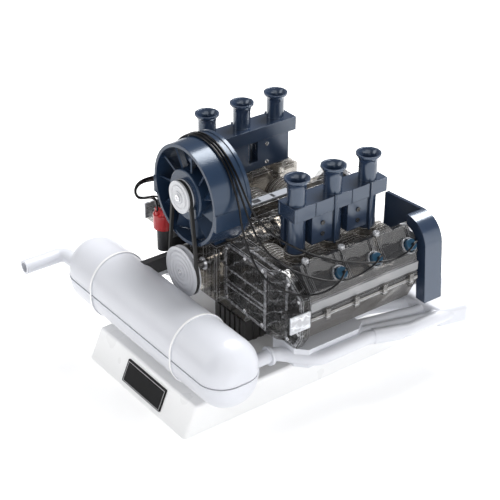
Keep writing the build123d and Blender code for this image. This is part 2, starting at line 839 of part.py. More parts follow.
number = 0
for side, bores in ((-1, left_bores), (1, right_bores)):
    for station, throw in zip(bores, throws_deg):
        number += 1
        turned = throw if side > 0 else -throw
        save(piston_at(side, station, turned), f"piston_{number}")
        save(rod_at(side, station, turned), f"connecting_rod_{number}")
        pin, tilt = pin_reach(turned)
        print(f"piston {number}: station {station:.2f}, wrist pin {side * pin:.3f}, tilt {tilt:.3f}")


# The camshafts, each with six lobes and its sprocket.
with BuildPart() as camshaft:
    round_along_y(cam_radius, right_chain_station - sprocket_width / 2, head_end - cover_wall - moulding_gap, cam_x)
    round_along_y(cam_sprocket_radius, right_chain_station - sprocket_width / 2,
                  right_chain_station + sprocket_width / 2, cam_x)
    for i, station in enumerate(right_bores):
        for spread, phase in ((-cam_lobe_spread, 0), (cam_lobe_spread, pi / 2)):
            turn = phase + i * 2 * pi / 3
            round_along_y(cam_lobe_radius, station + spread - cam_lobe_width / 2,
                          station + spread + cam_lobe_width / 2, cam_x + cam_lobe_lift * cos(turn),
                          crank_height + cam_lobe_lift * sin(turn))
save_pair(camshaft.part, "camshaft")

# The fan housing: a tapered ring with squared shoulders, a rear rim, a foot and a spider.
ring_back = ring_front + ring_depth_back
with BuildPart() as fan_housing:
    with BuildSketch(across(ring_front)):
        with Locations((0, fan_height)):
            Circle(ring_front_radius)
    with BuildSketch(across(ring_back)):
        with Locations((0, fan_height)):
            Circle(ring_back_radius)
    loft()
    for start, end, half in ((ring_front, ring_back, ring_back_radius - rim_depth / 4),):
        block((-half, half), (start, end), (shoulder_bottom, fan_height))
    round_along_y(rim_radius, ring_back, ring_back + rim_depth, z=fan_height)
    block((-housing_foot_half, housing_foot_half), (housing_foot_start, ring_back),
          (nose_top, fan_height - ring_bore))
    round_along_y(ring_bore, 0, ring_back + rim_depth + cut_overrun, z=fan_height, mode=Mode.SUBTRACT)
    round_along_y(spider_hub, spider_start, spider_start + spider_depth, z=fan_height)
    for k in range(spider_arms):
        angle = 360 * k / spider_arms
        middle = (ring_bore + spider_hub) / 2
        place = Location((0, back(spider_start + spider_depth / 2), fan_height), (0, angle, 0))
        with Locations(place * Location((0, 0, middle))):
            Box(spider_arm, spider_depth, ring_bore - spider_hub + spider_arm)
    round_along_y(fan_shaft_radius + moulding_gap, 0, ring_back, z=fan_height, mode=Mode.SUBTRACT)
save(fan_housing.part, "fan_housing")

# The cooling fan: a cupped hub with pitched blades on a shaft.
blade_inner = fan_hub_radius - blade_thickness
blade_outer = ring_bore - blade_tip_gap
blade_middle_y = back(blade_start + fan_depth / 2)
with BuildPart() as beyond_tips:
    round_along_y(ring_bore * 2, 0, ring_back, z=fan_height)
    round_along_y(blade_outer, 0, ring_back, z=fan_height, mode=Mode.SUBTRACT)
with BuildPart() as fan:
    round_along_y(fan_hub_radius, fan_front, fan_front + fan_depth, z=fan_height)
    fillet(fan.faces().sort_by(Axis.Y)[0].edges(), blade_thickness)
    for k in range(blade_count):
        place = Location((0, blade_middle_y, fan_height), (0, 360 * k / blade_count, 0))
        tilt = Location((0, 0, (blade_inner + blade_outer) / 2), (0, 0, blade_pitch_deg))
        with Locations(place * tilt):
            Box(blade_thickness, fan_depth, blade_outer - blade_inner)
    round_along_y(ring_bore * 2, spider_start - moulding_gap * 2, spider_start + fan_depth, z=fan_height,
                  mode=Mode.SUBTRACT)
    add(beyond_tips.part, mode=Mode.SUBTRACT)
    round_along_y(fan_shaft_radius, fan_pulley_front, spider_start + spider_depth + alternator_length / 2,
                  z=fan_height)
save(fan.part, "cooling_fan")

# The alternator behind the fan, which carries the fan's shaft.
alternator_start = spider_start + spider_depth
with BuildPart() as alternator:
    round_along_y(alternator_radius, alternator_start, alternator_start + alternator_length, z=fan_height)
    fillet(alternator.faces().sort_by(Axis.Y)[-1].edges(), cover_wall)
    round_along_y(fan_shaft_radius + running_gap, 0, alternator_start + alternator_length - cover_wall * 2,
                  z=fan_height, mode=Mode.SUBTRACT)
save(alternator.part, "alternator")


# The two belt pulleys and the belt that runs round them.
def pulley(radius, front, depth, height, bore):
    """A grooved pulley whose groove lines up with the belt, bored from the back for its shaft."""
    with BuildPart() as wheel:
        round_along_y(radius, front, front + depth, z=height)
        groove_start = belt_start - groove_gap
        groove_end = belt_start + belt_width + groove_gap
        floor = radius - groove_gap - belt_thickness - groove_gap
        with BuildSketch(across(groove_end)):
            with Locations((0, height)):
                Circle(radius + cut_overrun)
                Circle(floor, mode=Mode.SUBTRACT)
        extrude(amount=groove_end - groove_start, mode=Mode.SUBTRACT)
        round_along_y(pulley_boss_radius, front - pulley_boss_height, front, z=height)
        round_along_y(radius - pulley_lip * 4, front - pulley_lip / 2, front, z=height)
        round_along_y(radius - pulley_lip * 5, front - pulley_lip, front - pulley_lip / 8, z=height,
                      mode=Mode.SUBTRACT)
        round_along_y(pulley_boss_radius, front - pulley_boss_height, front, z=height)
        round_along_y(bore, front, front + depth + cut_overrun, z=height, mode=Mode.SUBTRACT)
    return wheel.part


save(pulley(crank_pulley_radius, 0, crank_pulley_depth, crank_height, crank_nose_radius), "crank_pulley")
with BuildPart() as fan_pulley:
    add(pulley(fan_pulley_radius, fan_pulley_front, fan_pulley_depth, fan_height, fan_shaft_radius))
    round_along_y(pulley_boss_radius, fan_pulley_front + fan_pulley_depth, fan_front, z=fan_height)
    round_along_y(fan_shaft_radius, fan_pulley_front, fan_front, z=fan_height, mode=Mode.SUBTRACT)
save(fan_pulley.part, "fan_pulley")

belt_inset = -(groove_gap + belt_thickness)
with BuildPart() as v_belt:
    loop_round(belt_start + belt_width / 2, ((0, crank_height), crank_pulley_radius),
               ((0, fan_height), fan_pulley_radius), belt_inset, belt_thickness, belt_width)
save(v_belt.part, "v_belt")

# The intake of a bank: a rail with three flared stacks, an inner panel and outer plates.
rail_start = right_bores[0] - rail_margin
rail_end = right_bores[-1] + rail_end_margin
plate_stations = [(a + b) / 2 + plate_shift for a, b in zip(right_bores, right_bores[1:])]
panel_inner = rail_inner + panel_inset
panel_outer = panel_inner + panel_thickness
panel_screws = [(station, z) for station in (right_bores[0], rib_stations[0], rib_stations[1])
                for z in (panel_bottom + screw_margin, rail_bottom - screw_margin)]


flare_start = stack_top - bell_height
with BuildPart() as mouth:
    with BuildSketch(Plane.XZ):
        with BuildLine():
            Spline((stack_bore, flare_start), (bell_radius - bell_lip, stack_top), tangents=((0, 1), (1, 1)))
            Line((bell_radius - bell_lip, stack_top), (bell_radius, stack_top))
            Line((bell_radius, stack_top), (bell_radius, stack_top - bell_lip))
            Spline((bell_radius, stack_top - bell_lip), (stack_radius, flare_start), tangents=((-1, -1), (0, -1)))
            Line((stack_radius, flare_start), (stack_bore, flare_start))
        make_face()
    revolve(axis=Axis.Z)

with BuildPart() as intake:
    block((rail_inner, rail_outer), (rail_start, rail_end), (rail_bottom, rail_top))
    for station in right_bores:
        upright(stack_radius, pad_top, stack_top - bell_height, intake_x, station)
        with Locations((intake_x, back(station), 0)):
            add(mouth.part)
    block((panel_inner, panel_outer), (rail_start, right_bores[-1] + rail_margin),
          (panel_bottom, rail_bottom + cut_overrun))
    for station in plate_stations:
        block((plate_outer - plate_thickness, plate_outer), (station - plate_width / 2, station + plate_width / 2),
              (plate_bottom, rail_bottom + cut_overrun))
        block((panel_outer - cut_overrun, plate_outer), (station - plate_width / 2, station - plate_width / 4),
              (plate_bottom, rail_bottom + cut_overrun))
    for station in right_bores[1:]:
        upright(rod_radius, pad_top, rail_top + rod_radius, rail_outer, station - stack_radius / 2)
    window_start = right_bores[1] + window_lead - window_width
    block((0, panel_outer + cut_overrun), (window_start, window_start + window_width),
          (window_bottom, rail_bottom), Mode.SUBTRACT)
    for k in range(1, 5):
        joint = rail_start + k * (rail_end - rail_start) / 5
        block((rail_outer - joint_depth, rail_outer + cut_overrun), (joint, joint + joint_width),
              (rail_bottom - cut_overrun, rail_top + cut_overrun), Mode.SUBTRACT)
    for station in right_bores:
        upright(stack_bore, pad_top - cut_overrun, stack_top - bell_height, intake_x, station, Mode.SUBTRACT)
    for station, z in panel_screws:
        round_along_x(screw_shank_radius, panel_inner, panel_inner + screw_shank_length, station, z, Mode.SUBTRACT)
save_pair(intake.part, "intake")


# The screws of the intake panels and of the upper valve covers, all alike.
def bank_screws():
    """The right bank's screws, each a head on its seat and a shank in its hole."""
    with BuildPart() as screws:
        for station, z in panel_screws:
            round_along_x(screw_head_radius, panel_inner - screw_head_height, panel_inner, station, z)
            round_along_x(screw_shank_radius, panel_inner, panel_inner + screw_shank_length, station, z)
        for station in boss_stations:
            upright(screw_head_radius, boss_top, boss_top + screw_head_height, boss_x, station)
            upright(screw_shank_radius, boss_top - screw_shank_length, boss_top, boss_x, station)
    return screws.part


right_screws = bank_screws()
with BuildPart() as case_screws:
    add(right_screws)
    add(left_twin(right_screws))
save(case_screws.part, "case_screws")

# The oil cooler shroud: a back wall and a deep band over the top and down the outer side.
shroud_end = shroud_front + shroud_depth


def shroud_outline(inset):
    """The rounded outline of the shroud, drawn in by some distance."""
    foot = (shroud_side - inset, shroud_bottom)
    peak = (shroud_top_side - inset, shroud_top - inset)
    inner = (shroud_inner, shroud_inner_top - inset)
    with BuildLine() as outline:
        Polyline(foot, (shroud_inner, shroud_bottom), inner)
        FilletPolyline(inner, peak, foot, radius=shroud_corner - inset)
    make_face(outline.edges())


with BuildPart() as cooler_shroud:
    with BuildSketch(across(shroud_end)):
        shroud_outline(0)
    extrude(amount=shroud_depth)
    with BuildSketch(across(shroud_end - shroud_wall)):
        shroud_outline(shroud_band_thickness)
    extrude(amount=shroud_depth + cut_overrun, mode=Mode.SUBTRACT)
    block((0, shroud_band_start), (shroud_front - cut_overrun, shroud_end - shroud_wall),
          (shroud_bottom - cut_overrun, shroud_top + cut_overrun), Mode.SUBTRACT)
    fillet(cooler_shroud.edges().filter_by(Axis.Y).sort_by(Axis.X)[0:2], cover_wall)
save(cooler_shroud.part, "oil_cooler_shroud")

# The finned oil cooler inside the shroud.
with BuildPart() as oil_cooler:
    depth_end = shroud_end - shroud_wall
    block((cooler_inner, cooler_outer), (cooler_start + cooler_fin_depth, depth_end), (cooler_bottom, cooler_top))
    for k in range(round((cooler_top - cooler_bottom) / (cooler_fin + cooler_fin_gap))):
        low = cooler_bottom + k * (cooler_fin + cooler_fin_gap)
        block((cooler_inner, cooler_outer), (cooler_start, depth_end), (low, low + cooler_fin))
    for height in cooler_post_heights:
        round_along_y(cooler_post_radius, head_end, depth_end, cooler_post_x, height)
save(oil_cooler.part, "oil_cooler")


# The silencer: a long rounded can in an upper and a lower shell, with two raised bands.
silencer_y = back(silencer_back) - silencer_depth / 2


def silencer_can(inset, half_length):
    """The rounded can, drawn in by some distance."""
    with BuildSketch(Plane.YZ.offset(silencer_x - half_length)) as section:
        with Locations((silencer_y, silencer_axis_height)):
            RectangleRounded(silencer_depth - 2 * inset, silencer_height - 2 * inset, silencer_section_round - inset)
    extrude(section.sketch, amount=2 * half_length)


with BuildPart() as silencer_outer:
    silencer_can(0, silencer_half_length)
    fillet(silencer_outer.faces().filter_by(Axis.X).edges(), silencer_end_round)
with BuildPart() as silencer_inner:
    silencer_can(silencer_wall, silencer_half_length - silencer_wall)
    fillet(silencer_inner.faces().filter_by(Axis.X).edges(), silencer_end_round - silencer_wall)
with BuildPart() as silencer_bands:
    for x in band_places:
        with BuildSketch(Plane.YZ.offset(x - band_width / 2)):
            with Locations((silencer_y, silencer_axis_height)):
                RectangleRounded(silencer_depth + 2 * band_rise, silencer_height + 2 * band_rise,
                                 silencer_section_round + band_rise)
        extrude(amount=band_width)
    fillet(silencer_bands.faces().filter_by(Axis.X).edges(), band_rise * 0.6)
with BuildPart() as silencer_lip:
    silencer_can(-seam_lip, silencer_half_length + seam_lip)
    fillet(silencer_lip.faces().filter_by(Axis.X).edges(), silencer_end_round + seam_lip)
    with Locations((silencer_x, silencer_y, silencer_seam - seam_lip_height / 2)):
        Box(4 * silencer_half_length, 4 * silencer_depth, seam_lip_height, mode=Mode.INTERSECT)
with BuildPart() as silencer_form:
    add(silencer_outer.part)
    add(silencer_bands.part)
    add(silencer_lip.part)
with BuildPart() as silencer:
    add(silencer_form.part)
    add(silencer_inner.part, mode=Mode.SUBTRACT)
keep_half = (4 * silencer_half_length, 4 * silencer_depth, silencer_height)
for name, low in (("silencer_upper", silencer_seam + silencer_seam_gap / 2),
                  ("silencer_lower", silencer_seam - silencer_seam_gap / 2 - silencer_height)):
    with BuildPart() as shell:
        add(silencer.part)
        with Locations((silencer_x, silencer_y, low + silencer_height / 2)):
            Box(*keep_half, mode=Mode.INTERSECT)
    save(shell.part, name)

# The tail pipe that leaves the silencer's far end and turns forward.
tail_y = silencer_y - tail_drop + tail_drop / 4
with BuildPart() as tail_pipe:
    with BuildLine() as tail_path:
        FilletPolyline((silencer_x - silencer_half_length + silencer_end_round / 3, tail_y, silencer_seam),
                       (-tail_reach, tail_y, silencer_seam), (-tail_reach, back(tail_end), silencer_seam),
                       radius=tail_bend)
    with BuildSketch(Plane(origin=tail_path.line @ 0, z_dir=tail_path.line % 0)):
        Circle(tail_radius)
    sweep()
    with BuildSketch(Plane(origin=tail_path.line @ 1, z_dir=tail_path.line % 1)):
        Circle(tail_bore)
    extrude(amount=-tail_radius * 4, mode=Mode.SUBTRACT)
    add(silencer_form.part, mode=Mode.SUBTRACT)
save(tail_pipe.part, "tail_pipe")


# The exhaust of a bank: neck, return pipe, heat exchanger, primaries and collector.
def pipe_along(points, radius, bend):
    """A round pipe along straight runs joined by equal bends."""
    with BuildLine() as path:
        FilletPolyline(*points, radius=bend)
    with BuildSketch(Plane(origin=path.line @ 0, z_dir=path.line % 0)) as section:
        Circle(radius)
    sweep(section.sketch, path=path.line)


run_x = exchanger_outer - exchanger_inner
collector_width = collector_reach - collector_inner
collector_depth = collector_back - collector_front
with BuildPart() as collector:
    with BuildSketch(Plane.XY.offset(collector_bottom)):
        Polygon(*from_shares(collector_shares, (collector_inner, back(collector_front)),
                             (collector_width, collector_depth)), align=None)
    extrude(amount=collector_top - collector_bottom)
    fillet(collector.edges().filter_by(Axis.Z), collector_round)
    fillet(collector.faces().filter_by(Axis.Z).edges(), collector_round * 0.8)


def exhaust_at(neck_length):
    """The right-hand exhaust, with its neck drawn out forward by some length."""
    with BuildPart() as exhaust:
        pipe_along([(neck_x, back(silencer_back - pipe_radius * 2.5 - neck_length), exhaust_height),
                    (neck_x, back(neck_bend), exhaust_height), (pipe_x, back(pipe_start), exhaust_height),
                    (pipe_x, back(sleeve_start), exhaust_height), (sleeve_x, back(sleeve_end), exhaust_height),
                    (sleeve_x, back(collector_front + collector_depth / 2), exhaust_height)],
                   pipe_radius, pipe_bend)
        round_along_y(flange_radius, flange_station - flange_width, flange_station, neck_x, exhaust_height)
        with BuildLine(mode=Mode.PRIVATE) as sleeve_line:
            Line((pipe_x + (sleeve_x - pipe_x) / 8, back(sleeve_start + pipe_radius), exhaust_height),
                 (sleeve_x - (sleeve_x - pipe_x) / 8, back(sleeve_end - pipe_radius), exhaust_height))
        with BuildSketch(Plane(origin=sleeve_line.line @ 0, z_dir=sleeve_line.line % 0)):
            Circle(sleeve_radius)
        extrude(amount=sleeve_line.wire().length)
        with BuildSketch(Plane.XY.offset(exchanger_bottom)):
            Polygon(*from_shares(exchanger_shares, (exchanger_inner, back(exchanger_front)),
                                 (run_x, exchanger_back - exchanger_front)), align=None)
        extrude(amount=exchanger_top - exchanger_bottom)
        for station in right_bores:
            upright(stub_radius, exhaust_height, head_inner_bottom, exhaust_port_x, station)
        for share_front, share_back in zip(primary_front_share, primary_back_share):
            start_x = exchanger_inner + share_front * run_x
            end_x = collector_inner + share_back * collector_width
            pipe_along([(start_x, back(exchanger_back - pipe_radius), exhaust_height),
                        (start_x, back(exchanger_back + pipe_radius), exhaust_height),
                        (end_x, back(collector_front), exhaust_height),
                        (end_x, back(collector_front + pipe_radius * 2), exhaust_height)],
                       primary_radius, pipe_radius)
        pipe_along([(exhaust_port_x, back(exchanger_back - pipe_radius), exhaust_height),
                    (exhaust_port_x, back(right_bores[-1]), exhaust_height),
                    (neck_x + pipe_radius, back(collector_front), exhaust_height),
                    (neck_x + pipe_radius, back(collector_front + pipe_radius * 2), exhaust_height)],
                   primary_radius, pipe_radius)
        add(collector.part)
        with BuildSketch(across(head_end)):
            Polygon((barrel_end, head_inner_bottom), (head_reach, head_outer_bottom), (head_reach, head_top),
                    (barrel_end, head_top), align=None)
        extrude(amount=head_end - head_start, mode=Mode.SUBTRACT)
    return exhaust.part


with BuildPart() as exhaust_right:
    add(exhaust_at(0))
    add(silencer_form.part, mode=Mode.SUBTRACT)
save(exhaust_right.part, "exhaust_right")
with BuildPart() as exhaust_left:
    with Locations((0, bank_offset, 0)):
        add(mirror(exhaust_at(bank_offset), about=Plane.YZ, mode=Mode.PRIVATE))
    add(silencer_form.part, mode=Mode.SUBTRACT)
save(exhaust_left.part, "exhaust_left")

# The flat bar that ties the silencer to the engine.
left_cover_front = chain_cover_front + bank_offset
with BuildPart() as silencer_bracket:
    block((bracket_x - bracket_width / 2, bracket_x + bracket_width / 2),
          (silencer_back - silencer_depth / 3, left_cover_front), (bracket_bottom, bracket_bottom + bracket_height))
    add(silencer_form.part, mode=Mode.SUBTRACT)
save(silencer_bracket.part, "silencer_bracket")

# The distributor: a body on an arm, a cap with six towers, and the rotor inside.
body_top = distributor_bottom + distributor_height
with BuildPart() as distributor_body:
    upright(distributor_radius, distributor_bottom, body_top, distributor_x, distributor_station)
    upright(cap_radius - cap_wall, body_top - cap_wall, body_top, distributor_x, distributor_station)
    block((distributor_x - distributor_arm_width / 2, distributor_x + distributor_arm_width / 2),
          (distributor_station, left_cover_front),
          (distributor_bottom, distributor_bottom + distributor_arm_height))
    upright(rotor_shaft + running_gap, distributor_bottom + cap_wall, body_top + cut_overrun, distributor_x,
            distributor_station, Mode.SUBTRACT)
save(distributor_body.part, "distributor_body")

tower_turns = [2 * pi * (k + 0.5) / 6 for k in range(6)]
tower_places = [(distributor_x + tower_ring * cos(t), distributor_station + tower_ring * sin(t))
                for t in tower_turns]
with BuildPart() as distributor_cap:
    upright(cap_radius, body_top, body_top + cap_height, distributor_x, distributor_station)
    fillet(distributor_cap.faces().sort_by(Axis.Z)[-1].edges(), cap_wall)
    for x, station in tower_places:
        upright(tower_radius, body_top + cap_height - cut_overrun, body_top + cap_height + tower_rise, x, station)
    upright(cap_radius - cap_wall, body_top - cut_overrun, body_top + cap_height - cap_wall * 2, distributor_x,
            distributor_station, Mode.SUBTRACT)
save(distributor_cap.part, "distributor_cap")

rotor_bottom = body_top + moulding_gap
with BuildPart() as distributor_rotor:
    upright(rotor_shaft, distributor_bottom + cap_wall * 2, rotor_bottom + rotor_thickness, distributor_x,
            distributor_station)
    with BuildSketch(Plane.XY.offset(rotor_bottom)):
        with Locations((distributor_x, back(distributor_station))):
            Circle(rotor_radius / 2)
        with Locations((distributor_x + rotor_radius / 2, back(distributor_station))):
            Rectangle(rotor_radius, rotor_radius / 2)
    extrude(amount=rotor_thickness)
save(distributor_rotor.part, "distributor_rotor")


# The six spark plug caps in the wells of the upper covers.
def bank_caps():
    """The three caps of the right bank."""
    with BuildPart() as caps:
        for station in plug_stations:
            with BuildSketch(plug_plane(station)):
                Circle(plug_radius)
            extrude(amount=plug_length)
        fillet(caps.faces().filter_by(GeomType.PLANE).group_by(Axis.Z)[-1].edges(), cap_wall / 2)
    return caps.part


right_caps = bank_caps()
with BuildPart() as plug_caps:
    add(right_caps)
    add(left_twin(right_caps))
save(plug_caps.part, "plug_caps")

# The six ignition leads: routes of hand-chosen points, in X, station and height.
cap_top = body_top + cap_height + tower_rise
lead_rise = {1: 9.0, 2: 11.0, 3: 13.0, 4: 9.0, 5: 8.0, 6: 5.0}
lead_towers = {1: 2, 2: 1, 3: 0, 4: 5, 5: 4, 6: 3}
lead_routes = {
    1: [(-52.0, 19.0, 124.0), (-61.0, 23.0, 126.5), (-72.0, 31.0, 124.0), (-83.0, 43.0, 120.0),
        (-94.5, 56.5, 116.5)],
    2: [(-47.5, 23.5, 126.5), (-58.0, 28.0, 129.0), (-70.0, 36.0, 125.0), (-83.0, 49.0, 117.0),
        (-94.0, 64.0, 108.5), (-99.0, 79.0, 106.5), (-100.0, 89.5, 110.5)],
    3: [(-42.5, 21.5, 129.0), (-53.0, 27.0, 133.0), (-66.0, 34.0, 131.0), (-81.0, 45.0, 123.0),
        (-95.0, 59.0, 112.5), (-101.5, 76.0, 102.0), (-103.0, 94.0, 98.5), (-103.0, 109.0, 102.0),
        (-101.0, 119.5, 109.5)],
    4: [(-38.2, 8.5, 122.0), (-39.2, 3.5, 123.2), (-40.0, -1.5, 123.0), (-40.4, -6.5, 125.0), (-40.6, -8.5, 130.0),
        (-40.4, -6.5, 135.0), (-40.0, -1.5, 137.1), (-39.4, 5.5, 137.2), (-38.6, 12.0, 137.5), (-37.9, 16.8, 141.5)],
    5: [(-42.6, 6.5, 120.7), (-43.2, 1.0, 121.2), (-43.6, -4.0, 123.0), (-43.8, -6.0, 127.7),
        (-43.6, -4.0, 132.6), (-43.2, 1.0, 134.4), (-42.4, 6.5, 134.2), (-41.0, 11.5, 134.3),
        (-39.2, 16.5, 135.5), (-37.9, 19.6, 141.0)],
    6: [(-46.8, 8.5, 117.5), (-47.2, 3.0, 118.0), (-47.4, -1.9, 119.8), (-47.5, -3.8, 124.5),
        (-47.3, -1.9, 129.2), (-46.6, 3.0, 131.1), (-45.2, 8.5, 131.0), (-43.2, 13.5, 131.2),
        (-40.5, 18.3, 132.5), (-38.3, 21.9, 138.0)],
}
lead_ends = {
    4: [(40.0, 18.0, 147.5), (46.0, 15.5, 134.5), (54.5, 15.0, 120.0), (65.0, 16.5, 108.0),
        (77.0, 23.0, 100.5), (89.0, 34.0, 98.0), (96.5, 45.0, 101.5), (99.8, 53.0, 108.0)],
    5: [(40.5, 20.5, 149.0), (47.0, 20.5, 138.5), (55.0, 21.5, 127.5), (65.0, 25.0, 118.0),
        (77.0, 33.0, 111.0), (89.0, 46.0, 105.5), (95.0, 58.5, 103.5), (97.5, 71.0, 105.0), (99.5, 81.0, 109.5)],
    6: [(41.0, 23.0, 150.0), (47.5, 25.5, 138.5), (56.0, 32.5, 127.5), (68.0, 43.5, 119.0),
        (80.0, 57.5, 112.5), (90.0, 78.0, 107.0), (97.0, 99.5, 105.0), (99.5, 110.5, 109.5)],
}
housing_stations = {4: 18.6, 5: 20.8, 6: 23.0}
housing_turns_deg = (-72.0, -48.0, -24.0, 0.0, 24.0, 48.0)
lead_radius = lead_diameter / 2


def over_housing(station):
    """Points that carry a lead over the top of the fan housing."""
    share = (station - ring_front) / ring_depth_back
    surface = ring_front_radius + share * (ring_back_radius - ring_front_radius)
    vertex = (surface + over_housing_gap + lead_radius) / cos(radians(housing_turns_deg[-1] / 4))
    return [(vertex * sin(radians(t)), station, fan_height + vertex * cos(radians(t))) for t in housing_turns_deg]


def plug_end(number):
    """The points that turn a lead in over its plug cap and down onto it."""
    side = -1 if number <= 3 else 1
    station = plug_stations[(number - 1) % 3] + (bank_offset if side < 0 else 0)
    out, seat = [(well_place[0] + plug_direction[0] * d, well_place[1] + plug_direction[2] * d)
                 for d in (plug_length + plug_length * 1.4, plug_length)]
    turn = (side * (out[0] + lead_turn_in[0]), station - lead_turn_in[1], out[1] + lead_turn_in[2])
    return [turn, (side * out[0], station, out[1]), (side * seat[0], station, seat[1])]


def lead_points(number):
    """The whole route of one lead, from its tower to its plug cap."""
    x, station = tower_places[lead_towers[number]]
    points = [(x, station, cap_top), (x, station, cap_top + lead_rise[number])]
    points += lead_routes[number]
    if number in lead_ends:
        points += over_housing(housing_stations[number])
        points += lead_ends[number]
    points += plug_end(number)
    return [Vector(px, back(ps), pz) for px, ps, pz in points]


def bend_radii(points):
    """The largest radius that each corner's two runs allow."""
    radii = []
    for a, b, c in zip(points, points[1:], points[2:]):
        turn = radians((b - a).get_angle(c - b))
        shorter = min((b - a).length, (c - b).length)
        radii.append(0.45 * shorter / tan(turn / 2))
    return radii


for number in range(1, 7):
    points = lead_points(number)
    radii = bend_radii(points)
    with BuildPart() as lead:
        with BuildLine() as route:
            FilletPolyline(*points, radius=radii)
        with BuildSketch(Plane(origin=route.line @ 0, z_dir=route.line % 0)):
            Circle(lead_radius)
        sweep(path=route.line)
    length = route.wire().length
    ideal = pi * lead_radius ** 2 * length
    print(f"lead {number}: length {length:.1f}, least radius {min(radii):.1f}, "
          f"volume share {lead.part.volume / ideal:.4f}")
    print("  points", [tuple(round(v, 2) for v in p) for p in points])
    save(lead.part, f"ignition_lead_{number}")
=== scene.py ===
import math

import bmesh
import bpy
from mathutils import Matrix, Vector


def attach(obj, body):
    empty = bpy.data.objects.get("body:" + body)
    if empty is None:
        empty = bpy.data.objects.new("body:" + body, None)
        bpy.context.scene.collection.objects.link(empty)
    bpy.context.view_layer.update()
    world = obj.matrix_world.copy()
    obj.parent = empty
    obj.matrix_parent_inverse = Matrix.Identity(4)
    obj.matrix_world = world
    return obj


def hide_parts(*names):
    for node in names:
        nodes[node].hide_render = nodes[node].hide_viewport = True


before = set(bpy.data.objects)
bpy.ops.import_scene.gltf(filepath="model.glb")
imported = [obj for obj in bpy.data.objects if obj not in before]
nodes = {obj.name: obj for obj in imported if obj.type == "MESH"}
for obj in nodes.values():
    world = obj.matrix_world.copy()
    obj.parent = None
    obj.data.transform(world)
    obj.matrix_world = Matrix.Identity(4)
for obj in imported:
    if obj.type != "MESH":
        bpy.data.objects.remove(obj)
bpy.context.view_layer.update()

# The viewpoint: a long lens that looks down on the model's front right corner,
# from a little under a metre away.
aim = Vector((0.0, 0.0013, 0.0816))
toward_camera = Vector((0.6877, -0.5169, 0.5099)).normalized()
camera_distance = 0.9833
camera_roll = math.radians(0.333)
level = Vector((0.0, 0.0, 1.0)).cross(toward_camera).normalized()
upward = toward_camera.cross(level)
image_right = level * math.cos(camera_roll) + upward * math.sin(camera_roll)
image_up = upward * math.cos(camera_roll) - level * math.sin(camera_roll)
camera_data = bpy.data.cameras.new("desk_camera")
camera_data.lens = 103.94
camera_data.sensor_width = 36.0
camera_data.clip_start = 0.05
camera_data.clip_end = 20.0
camera = bpy.data.objects.new("desk_camera", camera_data)
camera_turn = Matrix((image_right, image_up, toward_camera)).transposed()
camera.matrix_world = Matrix.Translation(aim + toward_camera * camera_distance) @ camera_turn.to_4x4()
bpy.context.scene.collection.objects.link(camera)
bpy.context.scene.camera = camera

# What all materials share: how finely rounded edges are traced, how far grain and turned rings reach
# into the surface, and the sharpness of a lacquer coat.
edge_samples = 4
grain_reach = 0.0003
ring_reach = 0.0004
coat_roughness = 0.12

# What all clear mouldings share, as levels between 0 and 1: where the cloudy pattern turns into painted
# glint patches or dark blots, how far a surface has to bend to get a painted edge highlight, where a painted
# glint line starts and how it leans, how much painted highlights hide, and how hazy a moulding with grooves is all
# over.
painted_patch_levels = (0.45, 0.72)
dark_levels = (0.50, 0.38)
painted_edge_levels = (0.99, 0.82)
glint_line_levels = (0.90, 0.99)
glint_line_lean = (0.3, 0.5, 0.4)
highlight_cover = 0.9
groove_haze = 0.5


def new_material(name):
    """A material with nodes, with its node tree and its main shader."""
    material = bpy.data.materials.new(name)
    material.use_nodes = True
    return material, material.node_tree, material.node_tree.nodes["Principled BSDF"]


def calculate(tree, operation, *terms):
    """The result of one sum, whose terms are sockets or plain numbers."""
    sum_node = tree.nodes.new("ShaderNodeMath")
    sum_node.operation = operation
    for slot, term in zip(sum_node.inputs, terms):
        if isinstance(term, float):
            slot.default_value = term
        else:
            tree.links.new(term, slot)
    return sum_node.outputs[0]


def remap(tree, value, results, levels=(0.0, 1.0)):
    """A value carried from the levels to the results, and held between them."""
    ranges = tree.nodes.new("ShaderNodeMapRange")
    for name, number in zip(("From Min", "From Max", "To Min", "To Max"), (*levels, *results)):
        ranges.inputs[name].default_value = number
    tree.links.new(value, ranges.inputs["Value"])
    return ranges.outputs["Result"]


def between(tree, factor, first, second):
    """A colour that goes from the first to the second."""
    shades = tree.nodes.new("ShaderNodeMix")
    shades.data_type = "RGBA"
    shades.inputs["A"].default_value = (*first, 1)
    shades.inputs["B"].default_value = (*second, 1)
    tree.links.new(factor, shades.inputs["Factor"])
    return shades.outputs["Result"]


def cloudy(tree, vector, **settings):
    """A cloudy pattern with these values for its inputs."""
    pattern = tree.nodes.new("ShaderNodeTexNoise")
    for name, number in settings.items():
        pattern.inputs[name.capitalize()].default_value = number
    tree.links.new(vector, pattern.inputs["Vector"])
    return pattern.outputs["Fac"]


def rounded(tree, radius):
    """The surface's direction, with its edges rounded off."""
    corner = tree.nodes.new("ShaderNodeBevel")
    corner.samples = edge_samples
    corner.inputs["Radius"].default_value = radius
    return corner.outputs["Normal"]


def relief(tree, height, normal, strength, reach):
    """The surface's direction, with a fine relief laid over it."""
    bump = tree.nodes.new("ShaderNodeBump")
    bump.inputs["Strength"].default_value = strength
    bump.inputs["Distance"].default_value = reach
    tree.links.new(height, bump.inputs["Height"])
    tree.links.new(normal, bump.inputs["Normal"])
    return bump.outputs["Normal"]


def wave_scale(pitch):
    """The scale at which a wave texture's crests lie this far apart."""
    return 2 * math.pi / (20 * pitch)


